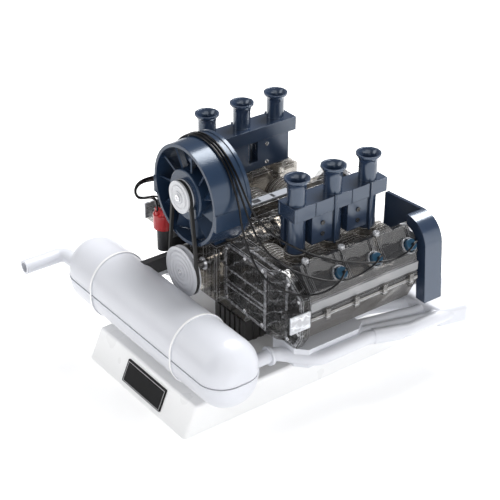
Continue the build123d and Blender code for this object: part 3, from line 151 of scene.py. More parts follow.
def plastic(name, colour, roughness, variation=0.06, grain_size=0.0006, grain_depth=0.02, coat=0.0,
            edge=0.0004, shine=1.5, tint=(1.0, 1.0, 1.0), rings_height=0.0, ring_pitch=0.002, ring_depth=0.0):
    """An opaque moulding: its colour drifts, its gloss is uneven, its skin is grained, its edges are rounded."""
    material, tree, shader = new_material(name)
    shader.inputs["IOR"].default_value = shine
    shader.inputs["Specular Tint"].default_value = (*tint, 1)
    shader.inputs["Coat Weight"].default_value = coat
    shader.inputs["Coat Roughness"].default_value = coat_roughness
    place = tree.nodes.new("ShaderNodeTexCoord").outputs["Object"]
    drift = cloudy(tree, place, scale=35.0, detail=3.0)
    colours = between(tree, drift, [c * (1 - variation) for c in colour],
                      [min(1, c * (1 + variation)) for c in colour])
    tree.links.new(colours, shader.inputs["Base Color"])
    gloss = remap(tree, drift, (roughness * 0.8, roughness * 1.25))
    tree.links.new(gloss, shader.inputs["Roughness"])
    grain = cloudy(tree, place, scale=1 / grain_size)
    normal = relief(tree, grain, rounded(tree, edge), grain_depth, grain_reach)
    if rings_height:
        centred = tree.nodes.new("ShaderNodeMapping")
        centred.inputs["Location"].default_value = (0, 0, -rings_height)
        tree.links.new(place, centred.inputs["Vector"])
        rings = tree.nodes.new("ShaderNodeTexWave")
        rings.wave_type = "RINGS"
        rings.rings_direction = "Y"
        rings.inputs["Scale"].default_value = wave_scale(ring_pitch)
        tree.links.new(centred.outputs["Vector"], rings.inputs["Vector"])
        normal = relief(tree, rings.outputs["Fac"], normal, ring_depth, ring_reach)
    tree.links.new(normal, shader.inputs["Normal"])
    return material


def see_through(name, dark, pale, through, facing, grazing, roughness=0.08, painted_patch_strength=0.15,
                cloud_size=0.002, edge=0.0005, shine=2.2, painted_highlight_bars=(), grooves=(), glint=0.0,
                glint_size=0.004, murk=0.0):
    """A clear moulding: sight goes through where it faces you, and painted highlights lighten its edges, glint
    patches, glint lines and bands.
    """
    material, tree, shader = new_material(name)
    shader.inputs["IOR"].default_value = shine
    place = tree.nodes.new("ShaderNodeTexCoord").outputs["Object"]
    swirl = cloudy(tree, place, scale=1 / cloud_size, detail=4.0, distortion=1.2)
    normal = rounded(tree, edge)
    tree.links.new(normal, shader.inputs["Normal"])

    # Painted highlights: pale glint patches, edges, glint lines and the bands painted across the moulding.
    surface = tree.nodes.new("ShaderNodeNewGeometry")
    flatness = tree.nodes.new("ShaderNodeVectorMath")
    flatness.operation = "DOT_PRODUCT"
    tree.links.new(normal, flatness.inputs[0])
    tree.links.new(surface.outputs["Normal"], flatness.inputs[1])
    painted_glint_patches = remap(tree, swirl, (0.0, painted_patch_strength), painted_patch_levels)
    painted_edge_glints = remap(tree, flatness.outputs["Value"], (0.0, 1.0), painted_edge_levels)
    painted_highlights = calculate(tree, "MAXIMUM", painted_glint_patches, painted_edge_glints)
    if glint:
        drawn = tree.nodes.new("ShaderNodeMapping")
        drawn.inputs["Rotation"].default_value = glint_line_lean
        tree.links.new(place, drawn.inputs["Vector"])
        glint_waves = tree.nodes.new("ShaderNodeTexWave")
        glint_waves.bands_direction = "Z"
        glint_waves.inputs["Scale"].default_value = wave_scale(glint_size)
        glint_waves.inputs["Distortion"].default_value = 7.0
        glint_waves.inputs["Detail"].default_value = 3.0
        glint_waves.inputs["Detail Scale"].default_value = 1.6
        tree.links.new(drawn.outputs["Vector"], glint_waves.inputs["Vector"])
        painted_glint_lines = remap(tree, glint_waves.outputs["Fac"], (0.0, glint), glint_line_levels)
        painted_highlights = calculate(tree, "MAXIMUM", painted_highlights, painted_glint_lines)
    position = tree.nodes.new("ShaderNodeSeparateXYZ")
    tree.links.new(place, position.inputs[0])
    for low, high in painted_highlight_bars:
        painted_band = calculate(tree, "COMPARE", position.outputs["Z"], (low + high) / 2, (high - low) / 2)
        painted_highlights = calculate(tree, "MAXIMUM", painted_band, painted_highlights)

    # Grooves stay dark. A moulding that has any is also hazy all over, by the value that the first starts from.
    groove = groove_haze
    for low, high in grooves:
        cut = calculate(tree, "COMPARE", position.outputs["Z"], (low + high) / 2, (high - low) / 2)
        groove = calculate(tree, "MAXIMUM", cut, groove)
    if grooves:
        painted_highlights = calculate(tree, "MAXIMUM", calculate(tree, "SUBTRACT", painted_highlights, groove), 0.0)
    tree.links.new(between(tree, painted_highlights, dark, pale), shader.inputs["Base Color"])
    gloss = remap(tree, swirl, (roughness * 0.6, roughness * 2.0))
    tree.links.new(gloss, shader.inputs["Roughness"])

    # How much it hides: most at a grazing look, under painted highlights, in dark blots and in grooves.
    weight = tree.nodes.new("ShaderNodeLayerWeight")
    weight.inputs["Blend"].default_value = 0.3
    density = remap(tree, weight.outputs["Facing"], (facing, grazing))
    solid = calculate(tree, "MAXIMUM", density, calculate(tree, "MULTIPLY", painted_highlights, highlight_cover))
    if murk:
        solid = calculate(tree, "MAXIMUM", solid, remap(tree, swirl, (0.0, murk), dark_levels))
    if grooves:
        solid = calculate(tree, "MAXIMUM", solid, groove)
    window = tree.nodes.new("ShaderNodeBsdfTransparent")
    window.inputs["Color"].default_value = (*through, 1)
    mix = tree.nodes.new("ShaderNodeMixShader")
    tree.links.new(solid, mix.inputs["Fac"])
    tree.links.new(window.outputs["BSDF"], mix.inputs[1])
    tree.links.new(shader.outputs["BSDF"], mix.inputs[2])
    tree.links.new(mix.outputs["Shader"], tree.nodes["Material Output"].inputs["Surface"])
    return material


def metal(name, colour, roughness, streak=(1.0, 1.0, 1.0), edge=0.0003):
    """A turned or brushed metal: fine streaks run along one way."""
    material, tree, shader = new_material(name)
    shader.inputs["Metallic"].default_value = 1.0
    stretch = tree.nodes.new("ShaderNodeMapping")
    stretch.inputs["Scale"].default_value = streak
    tree.links.new(tree.nodes.new("ShaderNodeTexCoord").outputs["Object"], stretch.inputs["Vector"])
    lines = cloudy(tree, stretch.outputs["Vector"], scale=900.0, detail=2.0)
    colours = between(tree, lines, [c * 0.85 for c in colour], [min(1, c * 1.1) for c in colour])
    tree.links.new(colours, shader.inputs["Base Color"])
    gloss = remap(tree, lines, (roughness * 0.75, roughness * 1.3))
    tree.links.new(gloss, shader.inputs["Roughness"])
    tree.links.new(rounded(tree, edge), shader.inputs["Normal"])
    return material


def dress(node, material):
    """Give a solid's every slot one material."""
    mesh = nodes[node].data
    mesh.materials.clear()
    mesh.materials.append(material)


# What the small mouldings share: how far the left bank sits behind the right one, a quarter turn, the angle
# below which neighbouring faces are shaded as one, how straight a face has to look to count as looking that
# way, and the length above which an edge counts as long.
left_shift = 0.0089
quarter_turn = math.radians(90)
smooth_angle = math.radians(35)
square_on = 0.9
long_edge = 0.01


def begin(kind, name, **how):
    """Add one primitive with nothing else selected, and name it."""
    bpy.ops.object.select_all(action="DESELECT")
    getattr(bpy.ops.mesh, f"primitive_{kind}_add")(**how)
    piece = bpy.context.active_object
    piece.name = piece.data.name = name
    return piece


def block(name, size):
    """A box of this size about the origin."""
    piece = begin("cube", name, size=1.0)
    bpy.ops.object.mode_set(mode="EDIT")
    bpy.ops.transform.resize(value=size, center_override=(0, 0, 0))
    bpy.ops.object.mode_set(mode="OBJECT")
    return piece


def pick(piece, test, kind="FACE"):
    """In edit mode, select the faces or edges that pass a test and nothing else."""
    bpy.ops.mesh.select_mode(type=kind)
    bpy.ops.mesh.select_all(action="DESELECT")
    body = bmesh.from_edit_mesh(piece.data)
    for part in list(body.faces if kind == "FACE" else body.edges):
        if test(part):
            part.select_set(True)
    bmesh.update_edit_mesh(piece.data)


def work_face(piece, test, *steps):
    """On the faces that pass a test, leave a rim and raise or sink what is inside it, once for each step."""
    bpy.ops.object.mode_set(mode="EDIT")
    pick(piece, test)
    for rim, rise in steps:
        bpy.ops.mesh.inset(thickness=rim)
        bpy.ops.mesh.extrude_region_shrink_fatten(TRANSFORM_OT_shrink_fatten={"value": rise})
    bpy.ops.object.mode_set(mode="OBJECT")


def finish_with(piece, kind, **settings):
    """Add a modifier with its settings and apply it."""
    modifier = piece.modifiers.new(kind.lower(), kind)
    for key, value in settings.items():
        setattr(modifier, key, value)
    bpy.ops.object.modifier_apply(modifier=modifier.name)


def join(pieces):
    """Make one piece of several, under the first one's name."""
    for piece in pieces:
        piece.select_set(True)
    bpy.context.view_layer.objects.active = pieces[0]
    bpy.ops.object.join()


def spread(piece, places):
    """Move a piece made at the origin to the first place, copy it to the others, and join them all."""
    piece.data.transform(Matrix.Translation(places[0]))
    twins = []
    for place in places[1:]:
        twin = piece.copy()
        twin.data = piece.data.copy()
        twin.data.transform(Matrix.Translation(Vector(place) - Vector(places[0])))
        bpy.context.scene.collection.objects.link(twin)
        twins.append(twin)
    if twins:
        join([piece] + twins)


def both_banks(places):
    """Places on the right bank, and their mirror images on the left one, which sits further back."""
    return list(places) + [(-x, y + left_shift, z) for x, y, z in places]


def faces_front(face):
    """True for a face that looks straight to the front."""
    return face.normal.y < -square_on


def faces_up(face):
    """True for a face that looks straight up."""
    return face.normal.z > square_on


def faces_side(face):
    """True for a face that looks straight to the right or the left."""
    return abs(face.normal.x) > square_on


# The ignition leads: six thin limp wires in black insulation, pushed into the distributor cap at one end
# and into the plug caps at the other. Three of them loop forward and over the fan's ring.
lead_thickness = 0.0014
lead_routes = {
    1: [(-0.04633, -0.038, 0.1085), (-0.04633, -0.038, 0.1175), (-0.052, -0.0365, 0.124), (-0.061, -0.0325, 0.1265),
        (-0.072, -0.0245, 0.124), (-0.083, -0.0125, 0.12), (-0.0945, 0.001, 0.1165), (-0.09731, 0.0118, 0.11367),
        (-0.09321, 0.0175, 0.10977), (-0.08812, 0.0175, 0.10495)],
    2: [(-0.042, -0.0355, 0.1085), (-0.042, -0.0355, 0.1195), (-0.0475, -0.032, 0.1265), (-0.058, -0.0275, 0.129),
        (-0.07, -0.0195, 0.125), (-0.083, -0.0065, 0.117), (-0.094, 0.0085, 0.1085), (-0.099, 0.0235, 0.1065),
        (-0.1, 0.034, 0.1105), (-0.09731, 0.0413, 0.11367), (-0.09321, 0.047, 0.10977), (-0.08812, 0.047, 0.10495)],
    3: [(-0.03767, -0.038, 0.1085), (-0.03767, -0.038, 0.1215), (-0.0425, -0.034, 0.129), (-0.053, -0.0285, 0.133),
        (-0.066, -0.0215, 0.131), (-0.081, -0.0105, 0.123), (-0.095, 0.0035, 0.1125), (-0.1015, 0.0205, 0.102),
        (-0.103, 0.0385, 0.0985), (-0.103, 0.0535, 0.102), (-0.101, 0.064, 0.1095), (-0.09731, 0.0708, 0.11367),
        (-0.09321, 0.0765, 0.10977), (-0.08812, 0.0765, 0.10495)],
    4: [(-0.03767, -0.043, 0.1085), (-0.03767, -0.043, 0.1175), (-0.0382, -0.047, 0.122), (-0.0392, -0.052, 0.1232),
        (-0.04, -0.057, 0.123), (-0.0404, -0.062, 0.125), (-0.0406, -0.064, 0.13), (-0.0404, -0.062, 0.135),
        (-0.04, -0.057, 0.1371), (-0.0394, -0.05, 0.1372), (-0.0386, -0.0435, 0.1375), (-0.0379, -0.0387, 0.1415),
        (-0.03536, -0.0369, 0.15239), (-0.02763, -0.0369, 0.16578), (-0.01512, -0.0369, 0.17486),
        (0.0, -0.0369, 0.17808), (0.01512, -0.0369, 0.17486), (0.02763, -0.0369, 0.16578), (0.04, -0.0375, 0.1475),
        (0.046, -0.04, 0.1345), (0.0545, -0.0405, 0.12), (0.065, -0.039, 0.108), (0.077, -0.0325, 0.1005),
        (0.089, -0.0215, 0.098), (0.0965, -0.0105, 0.1015), (0.0998, -0.0025, 0.108), (0.09731, 0.0029, 0.11367),
        (0.09321, 0.0086, 0.10977), (0.08812, 0.0086, 0.10495)],
    5: [(-0.042, -0.0455, 0.1085), (-0.042, -0.0455, 0.1165), (-0.0426, -0.049, 0.1207), (-0.0432, -0.0545, 0.1212),
        (-0.0436, -0.0595, 0.123), (-0.0438, -0.0615, 0.1277), (-0.0436, -0.0595, 0.1326), (-0.0432, -0.0545, 0.1344),
        (-0.0424, -0.049, 0.1342), (-0.041, -0.044, 0.1343), (-0.0392, -0.039, 0.1355), (-0.0379, -0.0359, 0.141),
        (-0.0355, -0.0347, 0.15244), (-0.02774, -0.0347, 0.16588), (-0.01518, -0.0347, 0.175),
        (0.0, -0.0347, 0.17823), (0.01518, -0.0347, 0.175), (0.02774, -0.0347, 0.16588), (0.0405, -0.035, 0.149),
        (0.047, -0.035, 0.1385), (0.055, -0.034, 0.1275), (0.065, -0.0305, 0.118), (0.077, -0.0225, 0.111),
        (0.089, -0.0095, 0.1055), (0.095, 0.003, 0.1035), (0.0975, 0.0155, 0.105), (0.0995, 0.0255, 0.1095),
        (0.09731, 0.0324, 0.11367), (0.09321, 0.0381, 0.10977), (0.08812, 0.0381, 0.10495)],
    6: [(-0.04633, -0.043, 0.1085), (-0.04633, -0.043, 0.1135), (-0.0468, -0.047, 0.1175), (-0.0472, -0.0525, 0.118),
        (-0.0474, -0.0574, 0.1198), (-0.0475, -0.0593, 0.1245), (-0.0473, -0.0574, 0.1292),
        (-0.0466, -0.0525, 0.1311), (-0.0452, -0.047, 0.131), (-0.0432, -0.042, 0.1312), (-0.0405, -0.0372, 0.1325),
        (-0.0383, -0.0336, 0.138), (-0.03565, -0.0325, 0.15248), (-0.02785, -0.0325, 0.16598),
        (-0.01524, -0.0325, 0.17514), (0.0, -0.0325, 0.17838), (0.01524, -0.0325, 0.17514),
        (0.02785, -0.0325, 0.16598), (0.041, -0.0325, 0.15), (0.0475, -0.03, 0.1385), (0.056, -0.023, 0.1275),
        (0.068, -0.012, 0.119), (0.08, 0.002, 0.1125), (0.09, 0.0225, 0.107), (0.097, 0.044, 0.105),
        (0.0995, 0.055, 0.1095), (0.09731, 0.0619, 0.11367), (0.09321, 0.0676, 0.10977), (0.08812, 0.0676, 0.10495)],
}
lead_black = plastic("lead_insulation", (0.003, 0.003, 0.004), 0.08, edge=0.0001, shine=1.35)
for number, route in lead_routes.items():
    wire = bpy.data.curves.new(f"lead_{number}", "CURVE")
    wire.dimensions = "3D"
    spline = wire.splines.new("NURBS")
    spline.points.add(len(route) - 1)
    for point, place in zip(spline.points, route):
        point.co = (*place, 1.0)
    spline.order_u = 3
    spline.use_endpoint_u = True
    spline.resolution_u = 10
    wire.bevel_depth = lead_thickness / 2
    wire.bevel_resolution = 3
    wire.use_fill_caps = True
    wire.materials.append(lead_black)
    lead = bpy.data.objects.new(f"lead_{number}", wire)
    bpy.context.scene.collection.objects.link(lead)
    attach(lead, "engine")
    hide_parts(f"ignition_lead_{number}")

# The plinth: one glossy white moulding with a sloped front and a raised tower.
# It is hollow, and a flat plate of the same white plastic closes it from below.
plinth_white = plastic("plinth_white", (0.94, 0.945, 0.95), 0.28, variation=0.01, coat=0.2)
dress("base_plinth", plinth_white)
dress("base_floor", plinth_white)

# The front plate: a thin near-black card glued to the plinth's slope.
# A fine pale line runs round it just inside its edge.
card_middle = (0.00525, 0.011)
card_half = (0.02275, 0.0082)
card_line_inset = 0.0012
card_line_width = 0.0003
card_line_colour = (0.7, 0.7, 0.72, 1)
slope_height_share = 0.918
card_black = plastic("card_black", (0.003, 0.003, 0.004), 0.45, shine=1.25)
tree = card_black.node_tree
position = tree.nodes.new("ShaderNodeSeparateXYZ")
tree.links.new(tree.nodes["Texture Coordinate"].outputs["Object"], position.inputs[0])
gaps = []
for axis, middle, half, share in (("X", card_middle[0], card_half[0], 1.0),
                                  ("Z", card_middle[1], card_half[1], slope_height_share)):
    offset = calculate(tree, "MULTIPLY_ADD", position.outputs[axis], 1 / share, -middle / share)
    gaps.append(calculate(tree, "SUBTRACT", calculate(tree, "ABSOLUTE", offset), half - card_line_inset))
on_line = calculate(tree, "COMPARE", calculate(tree, "MAXIMUM", *gaps), 0.0, card_line_width / 2)
inked = tree.nodes.new("ShaderNodeMix")
inked.data_type = "RGBA"
inked.inputs["B"].default_value = card_line_colour
tree.links.new(on_line, inked.inputs["Factor"])
tree.links.new(tree.nodes["Mix"].outputs["Result"], inked.inputs["A"])
tree.links.new(inked.outputs["Result"], tree.nodes["Principled BSDF"].inputs["Base Color"])
dress("label_plate", card_black)

# The crankcase halves and the bell housing: see-through mouldings, screwed together down the middle.
# The case is smoky and full of painted glint lines. The bell housing behind it is clearer.
smoky = see_through("smoky_plastic", (0.012, 0.011, 0.010), (0.84, 0.85, 0.88), (0.72, 0.70, 0.67), 0.07, 0.55,
                    painted_patch_strength=0.28, cloud_size=0.0024, glint=0.45, glint_size=0.005, murk=0.55)
dress("crankcase_right", smoky)
dress("crankcase_left", smoky)
bell_clear = see_through("bell_plastic", (0.10, 0.10, 0.10), (0.5, 0.5, 0.52), (0.93, 0.93, 0.93), 0.05, 0.4,
                         painted_patch_strength=0.1)
dress("bell_housing", bell_clear)

# The stand's skirt: a dark ribbed moulding that slips over the plinth's tower, and the engine's foot rests
# in it. It is open above and below, a little over a millimetre thick, with upright ribs all round.
skirt_x = 0.01712
skirt_y = (-0.01492, 0.07562)
skirt_z = (0.0223, 0.0386)
skirt_wall = 0.0009
skirt_rib = 0.0007
skirt_rib_pitch = 0.0029
skirt_cuts = (("y", 30), ("x", 11))


def is_rib(face):
    """True for every second strip of the skirt's outside."""
    place = face.calc_center_median()
    reach = skirt_wall * 0.9
    outer = abs(place.x) > skirt_x + reach or not skirt_y[0] - reach < place.y < skirt_y[1] + reach
    along = place.y if abs(face.normal.x) > 0.5 else place.x
    return outer and abs(face.normal.z) < 0.1 and int(round((along + 1) / skirt_rib_pitch)) % 2 == 0


skirt = begin("cube", "stand_skirt", size=1.0)
bpy.ops.object.mode_set(mode="EDIT")
pick(skirt, lambda face: abs(face.normal.z) > square_on)
bpy.ops.mesh.delete(type="FACE")
bpy.ops.mesh.select_all(action="SELECT")
bpy.ops.transform.resize(value=(2 * skirt_x, skirt_y[1] - skirt_y[0], skirt_z[1] - skirt_z[0]),
                         center_override=(0, 0, 0))
bpy.ops.transform.translate(value=(0, sum(skirt_y) / 2, sum(skirt_z) / 2))
for axis, cuts in skirt_cuts:
    pick(skirt, lambda edge: abs(getattr(edge.verts[1].co - edge.verts[0].co, axis)) > long_edge, "EDGE")
    bpy.ops.mesh.subdivide(number_cuts=cuts)
bpy.ops.object.mode_set(mode="OBJECT")
finish_with(skirt, "SOLIDIFY", thickness=skirt_wall, offset=1.0)
bpy.ops.object.mode_set(mode="EDIT")
pick(skirt, is_rib)
bpy.ops.mesh.extrude_region_shrink_fatten(TRANSFORM_OT_shrink_fatten={"value": skirt_rib})
bpy.ops.object.mode_set(mode="OBJECT")
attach(skirt, "engine")
stand_dark = plastic("stand_dark", (0.012, 0.011, 0.010), 0.22, coat=0.4, shine=1.6)
skirt.data.materials.append(stand_dark)

# The nose's ribs: upright ribs on the front and the sides of the case's nose.
# They are of the case's own smoky plastic, and moulded with it.
nose_rib = (0.0010, 0.0010, 0.0390)
nose_middle_z = 0.0830
rib_places = [(x, -0.0379, nose_middle_z) for x in (-0.0135, -0.0085, 0.0085, 0.0135)]
rib_places += [(side * 0.0154, y, nose_middle_z) for side in (1, -1) for y in (-0.0355, -0.0315)]
nose_ribs = block("nose_ribs", nose_rib)
finish_with(nose_ribs, "BEVEL", width=0.00025, segments=2)
spread(nose_ribs, rib_places)
nose_ribs.data.materials.append(smoky)
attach(nose_ribs, "engine")

# The spine's strip: a pale grey plastic bar, snapped onto the case's top between the banks.
# Two shallow pockets in its upper side hold dark inlays.
strip_size = (0.0064, 0.0400, 0.0010)
strip_middle = (0, 0.0140, 0.1175)
strip_cuts = 9
inlay_spans = ((0.0010, 0.0090), (0.0180, 0.0230))
inlay_rim = 0.0008
inlay_depth = 0.0005
inlay_below = 0.11765


def is_inlay(face):
    """True for the strips of the bar's upper side that an inlay covers."""
    y = face.calc_center_median().y
    return faces_up(face) and any(start < y < end for start, end in inlay_spans)


strip = block("spine_strip", strip_size)
strip.data.transform(Matrix.Translation(strip_middle))
bpy.ops.object.mode_set(mode="EDIT")
pick(strip, lambda edge: abs((edge.verts[1].co - edge.verts[0].co).y) > long_edge, "EDGE")
bpy.ops.mesh.subdivide(number_cuts=strip_cuts)
bpy.ops.object.mode_set(mode="OBJECT")
work_face(strip, is_inlay, (inlay_rim, -inlay_depth))
strip_pale = plastic("strip_pale", (0.36, 0.38, 0.42), 0.28, coat=0.3, edge=0.0002)
strip_dark = plastic("strip_dark", (0.02, 0.022, 0.026), 0.4, edge=0.0002)
strip.data.materials.append(strip_pale)
strip.data.materials.append(strip_dark)
for face in strip.data.polygons:
    face.material_index = 1 if faces_up(face) and face.center.z < inlay_below else 0
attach(strip, "engine")

# The barrels: six brownish see-through mouldings with round cooling fins.
# Each is pushed into its half of the case, and a piston runs in it.
barrel_brown = see_through("barrel_plastic", (0.17, 0.16, 0.15), (0.95, 0.95, 0.95), (0.84, 0.82, 0.79), 0.30,
                           0.85, roughness=0.12, painted_patch_strength=0.3, edge=0.0006)
dress("cylinder_barrels", barrel_brown)

# The cylinder heads: smoky see-through blocks with slots, ports and cam saddles.
# One moulding closes the three barrels of a bank.
head_smoky = see_through("head_plastic", (0.05, 0.047, 0.043), (0.80, 0.80, 0.80), (0.76, 0.74, 0.71), 0.14,
                         0.75, painted_patch_strength=0.35, glint=0.4, glint_size=0.004, murk=0.5)
dress("cylinder_head_right", head_smoky)
dress("cylinder_head_left", head_smoky)

# The valve covers and chain covers: thin clear mouldings with ribs, clips and plug wells, screwed on.
# The lower valve covers are brownish, and the chain covers take a darker copy of the clear plastic as painted shade.
# A pale bar, a painted highlight, and dark grooves run along each valve cover at one height.
clear = see_through("clear_plastic", (0.055, 0.056, 0.060), (0.88, 0.90, 0.95), (0.74, 0.73, 0.72), 0.10, 0.30,
                    painted_patch_strength=0.42, cloud_size=0.0018, glint=0.45, glint_size=0.004, murk=0.45, shine=1.8,
                    edge=0.0008, painted_highlight_bars=[(0.0853, 0.0917)], grooves=[(0.0836, 0.0851), (0.0806, 0.0816)])
chain_clear_painted_shade = see_through("chain_cover_painted_shade_plastic", (0.02, 0.02, 0.02), (0.88, 0.90, 0.95), (0.70, 0.69, 0.68),
                          0.07, 0.30, painted_patch_strength=0.25, cloud_size=0.0025, glint=0.3, glint_size=0.007, murk=0.8,
                          shine=1.9)
brown_clear = see_through("brown_clear_plastic", (0.13, 0.125, 0.12), (0.85, 0.87, 0.92), (0.74, 0.72, 0.69),
                          0.42, 0.85, painted_patch_strength=0.2, cloud_size=0.0016, murk=0.75, painted_highlight_bars=[(0.0786, 0.0794)],
                          grooves=[(0.0798, 0.0812)])
for side in ("right", "left"):
    dress(f"upper_valve_cover_{side}", clear)
    dress(f"chain_cover_{side}", chain_clear_painted_shade)
    dress(f"lower_valve_cover_{side}", brown_clear)

# The chain covers' raised rims: clear strips moulded round the front face and the set-back outer face.
# Three level bars cross the front face, and a flange runs along its top where the cover meets the head.
front_face_y = -0.0305
outer_face_y = -0.0235
rim_outlines = [(front_face_y, [(0.0150, 0.0622), (0.0594, 0.0602), (0.0612, 0.0600), (0.0612, 0.1080),
                                (0.0194, 0.1080), (0.0150, 0.1049)]),
                (outer_face_y, [(0.0712, 0.0560), (0.0831, 0.0560), (0.0890, 0.0664), (0.0890, 0.0950),
                                (0.0772, 0.1038), (0.0712, 0.1068)])]
rim_inset = 0.0008
rim_width = 0.0020
rim_rise = 0.0010
bar_size = (0.0430, 0.0012, 0.0011)
bar_x = 0.0385
bar_y = front_face_y - 0.0004
bar_heights = (0.0752, 0.0786, 0.0880)
flange_size = (0.0320, 0.0020, 0.0012)
flange_place = (0.0520, -0.0262, 0.1084)
# The rims, bars and flange are pale as a painted highlight along the cover's edges.
rim_painted_highlight = see_through("cover_rim_painted_highlight_plastic", (0.16, 0.16, 0.17), (0.92, 0.94, 1.0), (0.85, 0.85, 0.86), 0.45,
                         0.9, painted_patch_strength=0.6, cloud_size=0.004, edge=0.0003)
for side, name in ((1, "right"), (-1, "left")):
    shift = 0 if side > 0 else left_shift
    rims = []
    for face_y, outline in rim_outlines:
        rim = begin("circle", f"chain_cover_rim_{name}", vertices=len(outline), radius=0.02, fill_type="NGON")
        for corner, (x, z) in zip(rim.data.vertices, outline if side > 0 else outline[::-1]):
            corner.co = (side * x, face_y + shift, z)
        bpy.ops.object.mode_set(mode="EDIT")
        bpy.ops.mesh.select_all(action="SELECT")
        bpy.ops.mesh.normals_make_consistent(inside=False)
        bpy.ops.mesh.inset(thickness=rim_inset)
        bpy.ops.mesh.inset(thickness=rim_width)
        body = bmesh.from_edit_mesh(rim.data)
        inner = max(body.faces, key=lambda face: len(face.verts))
        keep = {face.index for edge in inner.edges for face in edge.link_faces if face is not inner}
        pick(rim, lambda face: face.index not in keep)
        bpy.ops.mesh.delete(type="FACE")
        bpy.ops.mesh.select_all(action="SELECT")
        bpy.ops.mesh.extrude_region_move(TRANSFORM_OT_translate={"value": (0, -rim_rise, 0)})
        bpy.ops.mesh.select_all(action="SELECT")
        bpy.ops.mesh.normals_make_consistent(inside=False)
        bpy.ops.object.mode_set(mode="OBJECT")
        finish_with(rim, "BEVEL", width=0.0002, segments=2)
        rims.append(rim)
    painted_highlight_bars = block("chain_cover_bars", bar_size)
    finish_with(painted_highlight_bars, "BEVEL", width=0.0002, segments=2)
    spread(painted_highlight_bars, [(side * bar_x, bar_y + shift, z) for z in bar_heights])
    flange = block("chain_cover_flange", flange_size)
    finish_with(flange, "BEVEL", width=0.0003, segments=2)
    spread(flange, [(side * flange_place[0], flange_place[1] + shift, flange_place[2])])
    join([*rims, painted_highlight_bars, flange])
    rims[0].data.materials.append(rim_painted_highlight)
    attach(rims[0], "engine")

# The chain covers' screws: plated steel heads with a round socket, turned in from the front.
# They sit round the front face and on the set-back outer face.
screw_spots = [(0.0183, front_face_y, 0.0660), (0.0183, front_face_y, 0.1030), (0.0380, front_face_y, 0.1046),
               (0.0570, front_face_y, 0.1046), (0.0380, front_face_y, 0.0650), (0.0570, front_face_y, 0.0640),
               (0.0855, outer_face_y, 0.0690), (0.0855, outer_face_y, 0.0930), (0.0750, outer_face_y, 0.0600),
               (0.0750, outer_face_y, 0.1010)]
screw_stand_off = 0.0005
socket_rim = 0.0005
socket_depth = 0.0006
turned_steel = metal("turned_steel", (0.80, 0.80, 0.82), 0.22, (1.0, 0.08, 1.0))
cover_screws = begin("cylinder", "chain_cover_screws", vertices=20, radius=0.0013, depth=0.0014,
                     rotation=(quarter_turn, 0, 0))
bpy.ops.object.transform_apply(rotation=True)
work_face(cover_screws, faces_front, (socket_rim, -socket_depth))
finish_with(cover_screws, "BEVEL", width=0.00015, segments=2)
spread(cover_screws, both_banks([(x, y - screw_stand_off, z) for x, y, z in screw_spots]))
cover_screws.data.materials.append(turned_steel)
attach(cover_screws, "engine")

# The cam ends' boxes: clear caps with rounded edges, over the ends of the camshafts, made dark with the chain covers'
# painted shade.
# Each is one moulding with a shallow pocket in front, pushed onto its cover's set-back face.
cam_box_size = (0.0100, 0.0110, 0.0118)
cam_box_place = (0.0848, outer_face_y - 0.0050, 0.0806)
cam_box_rim = 0.0018
cam_box_pocket = 0.0010
cam_boxes = block("cam_end_boxes", cam_box_size)
work_face(cam_boxes, faces_front, (cam_box_rim, -cam_box_pocket))
finish_with(cam_boxes, "BEVEL", width=0.0014, segments=4)
bpy.ops.object.shade_smooth_by_angle(angle=smooth_angle)
spread(cam_boxes, both_banks([cam_box_place]))
cam_boxes.data.materials.append(chain_clear_painted_shade)
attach(cam_boxes, "engine")

# The cam ends' side plates: clear plates with a shallow pocket on either side, made bright as painted sheen on the
# boxes' lit outer side.
# One is clipped to the outer side of each box.
side_plate_size = (0.0014, 0.0158, 0.0122)
side_plate_place = (0.0898, -0.0264, 0.0808)
side_plate_rim = 0.0009
side_plate_pocket = 0.0002
side_plate_painted_sheen = see_through("cam_side_painted_sheen_plastic", (0.42, 0.43, 0.47), (0.86, 0.89, 0.96), (0.9, 0.9, 0.9), 0.85, 0.95,
                       painted_patch_strength=0.95, cloud_size=0.006, edge=0.0012, glint=0.9, glint_size=0.006)
side_plates = block("cam_side_plates", side_plate_size)
work_face(side_plates, faces_side, (side_plate_rim, -side_plate_pocket))
finish_with(side_plates, "BEVEL", width=0.0002, segments=2)
spread(side_plates, both_banks([side_plate_place]))
side_plates.data.materials.append(side_plate_painted_sheen)
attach(side_plates, "engine")

# The plug wells' collars: clear rings round the six plug caps, made bright as a painted glint, moulded on the upper
# valve covers.
# Each is a short thin tube that leans outward with its well and stands a little above it.
well_centre = (0.08449, 0.10152)
well_lean = math.radians(46.58)
plug_stations = (0.0086, 0.0381, 0.0676)
collar_stand_off = 0.0016
collar_wall = 0.0009
collars = []
for side in (1, -1):
    collar = begin("cylinder", "plug_well_collars", vertices=48, radius=0.0056, depth=0.0014,
                   end_fill_type="NOTHING")
    finish_with(collar, "SOLIDIFY", thickness=collar_wall, offset=-1.0)
    finish_with(collar, "BEVEL", width=0.0002, segments=2)
    bpy.ops.object.shade_smooth_by_angle(angle=smooth_angle)
    collar.data.transform(Matrix.Rotation(side * well_lean, 4, "Y"))
    out = Vector((math.sin(well_lean) * side, 0, math.cos(well_lean))) * collar_stand_off
    shift = 0 if side > 0 else left_shift
    spread(collar, [(side * well_centre[0] + out.x, y + shift, well_centre[1] + out.z)
                    for y in plug_stations])
    collars.append(collar)
join(collars)
painted_glint_clear = see_through("collar_painted_glint_plastic", (0.30, 0.31, 0.33), (0.92, 0.94, 1.0), (0.92, 0.92, 0.92), 0.5, 0.9,
                          painted_patch_strength=0.9, cloud_size=0.003, edge=0.0003)
collars[0].data.materials.append(painted_glint_clear)
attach(collars[0], "engine")

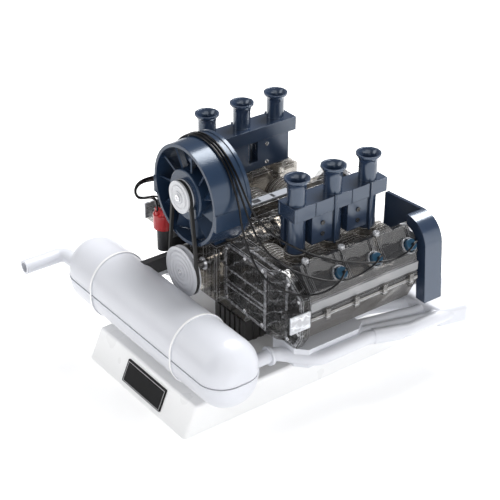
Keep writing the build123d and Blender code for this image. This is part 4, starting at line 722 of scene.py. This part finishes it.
# The upper covers' nuts: clear round nuts with a raised middle and a socket in it, made bright with the collars'
# painted glint.
# They are screwed onto the three bosses of each upper valve cover.
nut_spots = [(0.0760, y, 0.1146) for y in (-0.0124, 0.0171, 0.0466)]
nut_rim = 0.0006
nut_rise = 0.0006
nut_socket = 0.0008
cover_nuts = begin("cylinder", "upper_cover_nuts", vertices=24, radius=0.0023, depth=0.0020)
work_face(cover_nuts, faces_up, (nut_rim, nut_rise), (nut_rim, -nut_socket))
finish_with(cover_nuts, "BEVEL", width=0.0002, segments=2)
spread(cover_nuts, both_banks(nut_spots))
cover_nuts.data.materials.append(painted_glint_clear)
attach(cover_nuts, "engine")

# The crankshaft, rods, pistons, cams and valves: bright metal-look pieces inside the clear case.
# They are turned, so fine streaks run round them. The chains and the flywheel are of a darker metal.
for node in ("crankshaft", "camshaft_right", "camshaft_left", "valves", "case_screws"):
    dress(node, turned_steel)
piston_alloy = metal("piston_alloy", (0.84, 0.84, 0.86), 0.30, (0.1, 1.0, 1.0))
for k in range(1, 7):
    dress(f"connecting_rod_{k}", turned_steel)
    dress(f"piston_{k}", piston_alloy)
chain_steel = metal("chain_steel", (0.30, 0.30, 0.31), 0.45)
dress("timing_chains", chain_steel)
flywheel_grey = metal("flywheel_grey", (0.30, 0.30, 0.32), 0.35)
dress("flywheel", flywheel_grey)

# The intakes, the cooler's shroud, the fan and its ring: dark slate glossy mouldings.
# The fan and its ring take a darker copy of the slate with less of a lacquer look, as painted shade.
slate = plastic("slate_plastic", (0.020, 0.034, 0.066), 0.20, variation=0.12, coat=0.25, edge=0.0005, shine=1.7,
                tint=(0.78, 0.88, 1.0))
ring_slate_painted_shade = plastic("ring_slate_painted_shade_plastic", (0.014, 0.029, 0.060), 0.22, variation=0.12, coat=0.1, edge=0.0005,
                     shine=1.5, tint=(0.78, 0.88, 1.0))
for node in ("intake_right", "intake_left", "oil_cooler_shroud"):
    dress(node, slate)
for node in ("fan_housing", "cooling_fan"):
    dress(node, ring_slate_painted_shade)

# The intake rails' end blocks: slate blocks that close each rail's front end, moulded with it.
# A shallow pocket in front leaves a rim all round.
rail_end_size = (0.0174, 0.0018, 0.0100)
rail_end_place = (0.0537, -0.0096, 0.1390)
rail_end_rim = 0.0012
rail_end_pocket = 0.0003
rail_ends = block("rail_end_blocks", rail_end_size)
work_face(rail_ends, faces_front, (rail_end_rim, -rail_end_pocket))
finish_with(rail_ends, "BEVEL", width=0.0003, segments=2)
spread(rail_ends, both_banks([rail_end_place]))
rail_ends.data.materials.append(slate)
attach(rail_ends, "engine")

# The intake plates' studs: small black glossy heads, two on each outer plate.
# Each is a round pin pressed into the plate, with a shallow hollow in its end.
stud_places = [(0.0618, y, z) for y in (0.0130, 0.0425) for z in (0.1275, 0.1195)]
stud_rim = 0.0007
stud_hollow = 0.0003
plate_studs = begin("cylinder", "plate_studs", vertices=20, radius=0.0016, depth=0.0012,
                    rotation=(0, quarter_turn, 0))
bpy.ops.object.transform_apply(rotation=True)
work_face(plate_studs, faces_side, (stud_rim, -stud_hollow))
finish_with(plate_studs, "BEVEL", width=0.0002, segments=2)
spread(plate_studs, both_banks(stud_places))
stud_black = plastic("stud_black", (0.004, 0.005, 0.008), 0.2, coat=0.5, edge=0.0002)
plate_studs.data.materials.append(stud_black)
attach(plate_studs, "engine")

# The alternator, the silencer's bracket and the distributor's body: dark grey satin mouldings,
# each plugged or screwed to the case.
dark_grey = plastic("dark_grey_plastic", (0.030, 0.031, 0.034), 0.38)
for node in ("alternator", "silencer_bracket", "distributor_body"):
    dress(node, dark_grey)

# The pulleys and the belt: a pale grey crank pulley and a white fan pulley, both with turned rings,
# and a matt black rubber V-belt stretched over them.
crank_pulley_grey = plastic("crank_pulley_grey", (0.62, 0.63, 0.67), 0.22, coat=0.3, rings_height=0.085,
                            ring_pitch=0.0034, ring_depth=0.8)
dress("crank_pulley", crank_pulley_grey)
fan_pulley_white = plastic("fan_pulley_white", (0.66, 0.67, 0.70), 0.25, coat=0.2, rings_height=0.1409,
                           ring_pitch=0.0021, ring_depth=0.6)
dress("fan_pulley", fan_pulley_white)
belt_black = plastic("belt_rubber", (0.015, 0.015, 0.015), 0.6, grain_depth=0.2)
dress("v_belt", belt_black)

# The pulleys' centre screws: a star-shaped head in the fan pulley and a small round one in the crank pulley.
# Both are plated steel with a sunk middle, and each turns with its pulley.
star_steps = (1.0, 0.86, 0.74, 0.86)
star_rise = 0.0009
star_rim = 0.0008
star_sink = 0.0005
fan_nut_place = (0, -0.0567, 0.1409)
crank_nut_place = (0, -0.0565, 0.0850)
crank_nut_rim = 0.0007
crank_nut_sink = 0.0005
fan_nut = begin("circle", "fan_pulley_screw", vertices=24, radius=0.0026, fill_type="NGON",
                rotation=(quarter_turn, 0, 0))
bpy.ops.object.transform_apply(rotation=True)
for k, corner in enumerate(fan_nut.data.vertices):
    corner.co *= star_steps[k % len(star_steps)]
bpy.ops.object.mode_set(mode="EDIT")
bpy.ops.mesh.select_all(action="SELECT")
bpy.ops.mesh.extrude_region_move(TRANSFORM_OT_translate={"value": (0, -star_rise, 0)})
bpy.ops.mesh.inset(thickness=star_rim)
bpy.ops.mesh.extrude_region_move(TRANSFORM_OT_translate={"value": (0, star_sink, 0)})
bpy.ops.mesh.select_all(action="SELECT")
bpy.ops.mesh.normals_make_consistent(inside=False)
bpy.ops.object.mode_set(mode="OBJECT")
finish_with(fan_nut, "BEVEL", width=0.0001, segments=2)
spread(fan_nut, [fan_nut_place])
crank_nut = begin("cylinder", "crank_pulley_screw", vertices=24, radius=0.0017, depth=0.0010,
                  rotation=(quarter_turn, 0, 0))
bpy.ops.object.transform_apply(rotation=True)
work_face(crank_nut, faces_front, (crank_nut_rim, -crank_nut_sink))
finish_with(crank_nut, "BEVEL", width=0.0001, segments=2)
spread(crank_nut, [crank_nut_place])
for screw, body in ((fan_nut, "fan"), (crank_nut, "crank")):
    screw.data.materials.append(turned_steel)
    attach(screw, body)

# The oil cooler: a satin alloy block with thin fins,
# pushed into the bay of its shroud behind the right bank.
cooler_alloy = metal("cooler_alloy", (0.50, 0.51, 0.53), 0.42)
dress("oil_cooler", cooler_alloy)

# The silencer, tail pipe and exhausts: pearl grey mouldings with a slight gloss.
# The silencer is two half shells that meet in a seam, and the pipes are plugged into it.
pearl_grey = plastic("pearl_grey_plastic", (0.655, 0.67, 0.72), 0.34, variation=0.04, coat=0.1)
for node in ("silencer_upper", "silencer_lower", "tail_pipe", "exhaust_right", "exhaust_left"):
    dress(node, pearl_grey)

# The silencer's hoops: two white straps round its raised bands, their white a painted highlight on the bands, each
# pressed on as a closed loop.
# Half circles above and below are joined by short straight sides.
hoop_radius = 0.0214
hoop_straight = 0.0030
hoop_width = 0.0015
hoop_wall = 0.0006
hoop_places = [(x, -0.0768, 0.0596) for x in (-0.0460, 0.0491)]
hoops = begin("cylinder", "silencer_hoops", vertices=96, radius=hoop_radius, depth=hoop_width,
              end_fill_type="NOTHING", rotation=(0, quarter_turn, 0))
bpy.ops.object.transform_apply(rotation=True)
for corner in hoops.data.vertices:
    corner.co.z += math.copysign(hoop_straight, corner.co.z)
finish_with(hoops, "SOLIDIFY", thickness=hoop_wall, offset=1.0)
finish_with(hoops, "BEVEL", width=0.0002, segments=2)
bpy.ops.object.shade_smooth_by_angle(angle=smooth_angle)
spread(hoops, hoop_places)
hoop_painted_highlight = plastic("hoop_painted_highlight", (0.93, 0.93, 0.94), 0.22, variation=0.02, coat=0.3)
hoops.data.materials.append(hoop_painted_highlight)
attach(hoops, "engine")

# The distributor's cap and rotor, and the plug caps: a glossy red moulding that is clipped over a cream
# coloured rotor, and six teal caps that are pushed into the plug wells.
cap_red = plastic("cap_red", (0.42, 0.016, 0.02), 0.25, coat=0.3)
dress("distributor_cap", cap_red)
rotor_pale = plastic("rotor_pale", (0.55, 0.52, 0.45), 0.35)
dress("distributor_rotor", rotor_pale)
plug_teal = plastic("plug_teal", (0.008, 0.042, 0.080), 0.22, coat=0.3)
dress("plug_caps", plug_teal)

# The table: a wide white sheet that the plinth stands on.
# It glows a little where the camera, a reflection or a clear piece looks at it, so it stays plain white.
table_glow = 0.4
bpy.ops.object.select_all(action="DESELECT")
bpy.ops.mesh.primitive_grid_add(x_subdivisions=4, y_subdivisions=4, size=6.0, location=(0, 0, 0))
table = bpy.context.active_object
table.name = "table_top"
paper, tree, paper_shader = new_material("white_paper")
paper_shader.inputs["Base Color"].default_value = (0.93, 0.93, 0.93, 1)
paper_shader.inputs["Roughness"].default_value = 0.7
looks = tree.nodes.new("ShaderNodeLightPath").outputs
seen = calculate(tree, "MAXIMUM", looks["Is Camera Ray"], looks["Is Glossy Ray"])
seen = calculate(tree, "MAXIMUM", seen, looks["Is Transmission Ray"])
glow = tree.nodes.new("ShaderNodeEmission")
tree.links.new(calculate(tree, "MULTIPLY", seen, table_glow), glow.inputs["Strength"])
sheet = tree.nodes.new("ShaderNodeAddShader")
tree.links.new(paper_shader.outputs["BSDF"], sheet.inputs[0])
tree.links.new(glow.outputs["Emission"], sheet.inputs[1])
tree.links.new(sheet.outputs["Shader"], tree.nodes["Material Output"].inputs["Surface"])
table.data.materials.append(paper)

# Soft studio light: a lamp above and behind the model, two wide ones in front of it to the left and the
# right, and one low at its right side. All of them point at the model's middle.
lamp_target = Vector((0, 0, 0.08))
for name, place, size, power in (("overhead", (-0.20, 0.60, 1.05), 0.6, 19.0),
                                 ("front_left", (-0.7, -1.20, 0.7), 1.0, 7.5),
                                 ("front_right", (1.15, -0.55, 0.45), 1.5, 10.0),
                                 ("right_side", (1.25, 0.50, 0.30), 1.0, 5.5)):
    lamp_data = bpy.data.lights.new(name, "AREA")
    lamp_data.size = size
    lamp_data.energy = power
    lamp = bpy.data.objects.new(name, lamp_data)
    lamp.location = place
    lamp.rotation_euler = (Vector(place) - lamp_target).to_track_quat("Z", "Y").to_euler()
    bpy.context.scene.collection.objects.link(lamp)

# The room: white all round. It gives a dim even light, and it is full white only where the camera
# or a clear piece looks straight at it.
room_light = 0.27
world = bpy.data.worlds.new("studio_room")
world.use_nodes = True
tree = world.node_tree
sky = tree.nodes["Background"]
sky.inputs["Color"].default_value = (1, 1, 1, 1)
looks = tree.nodes.new("ShaderNodeLightPath").outputs
seen = calculate(tree, "MAXIMUM", looks["Is Camera Ray"], looks["Is Transmission Ray"])
tree.links.new(remap(tree, seen, (room_light, 1.0)), sky.inputs["Strength"])
bpy.context.scene.world = world
bpy.context.scene.view_settings.view_transform = "Standard"
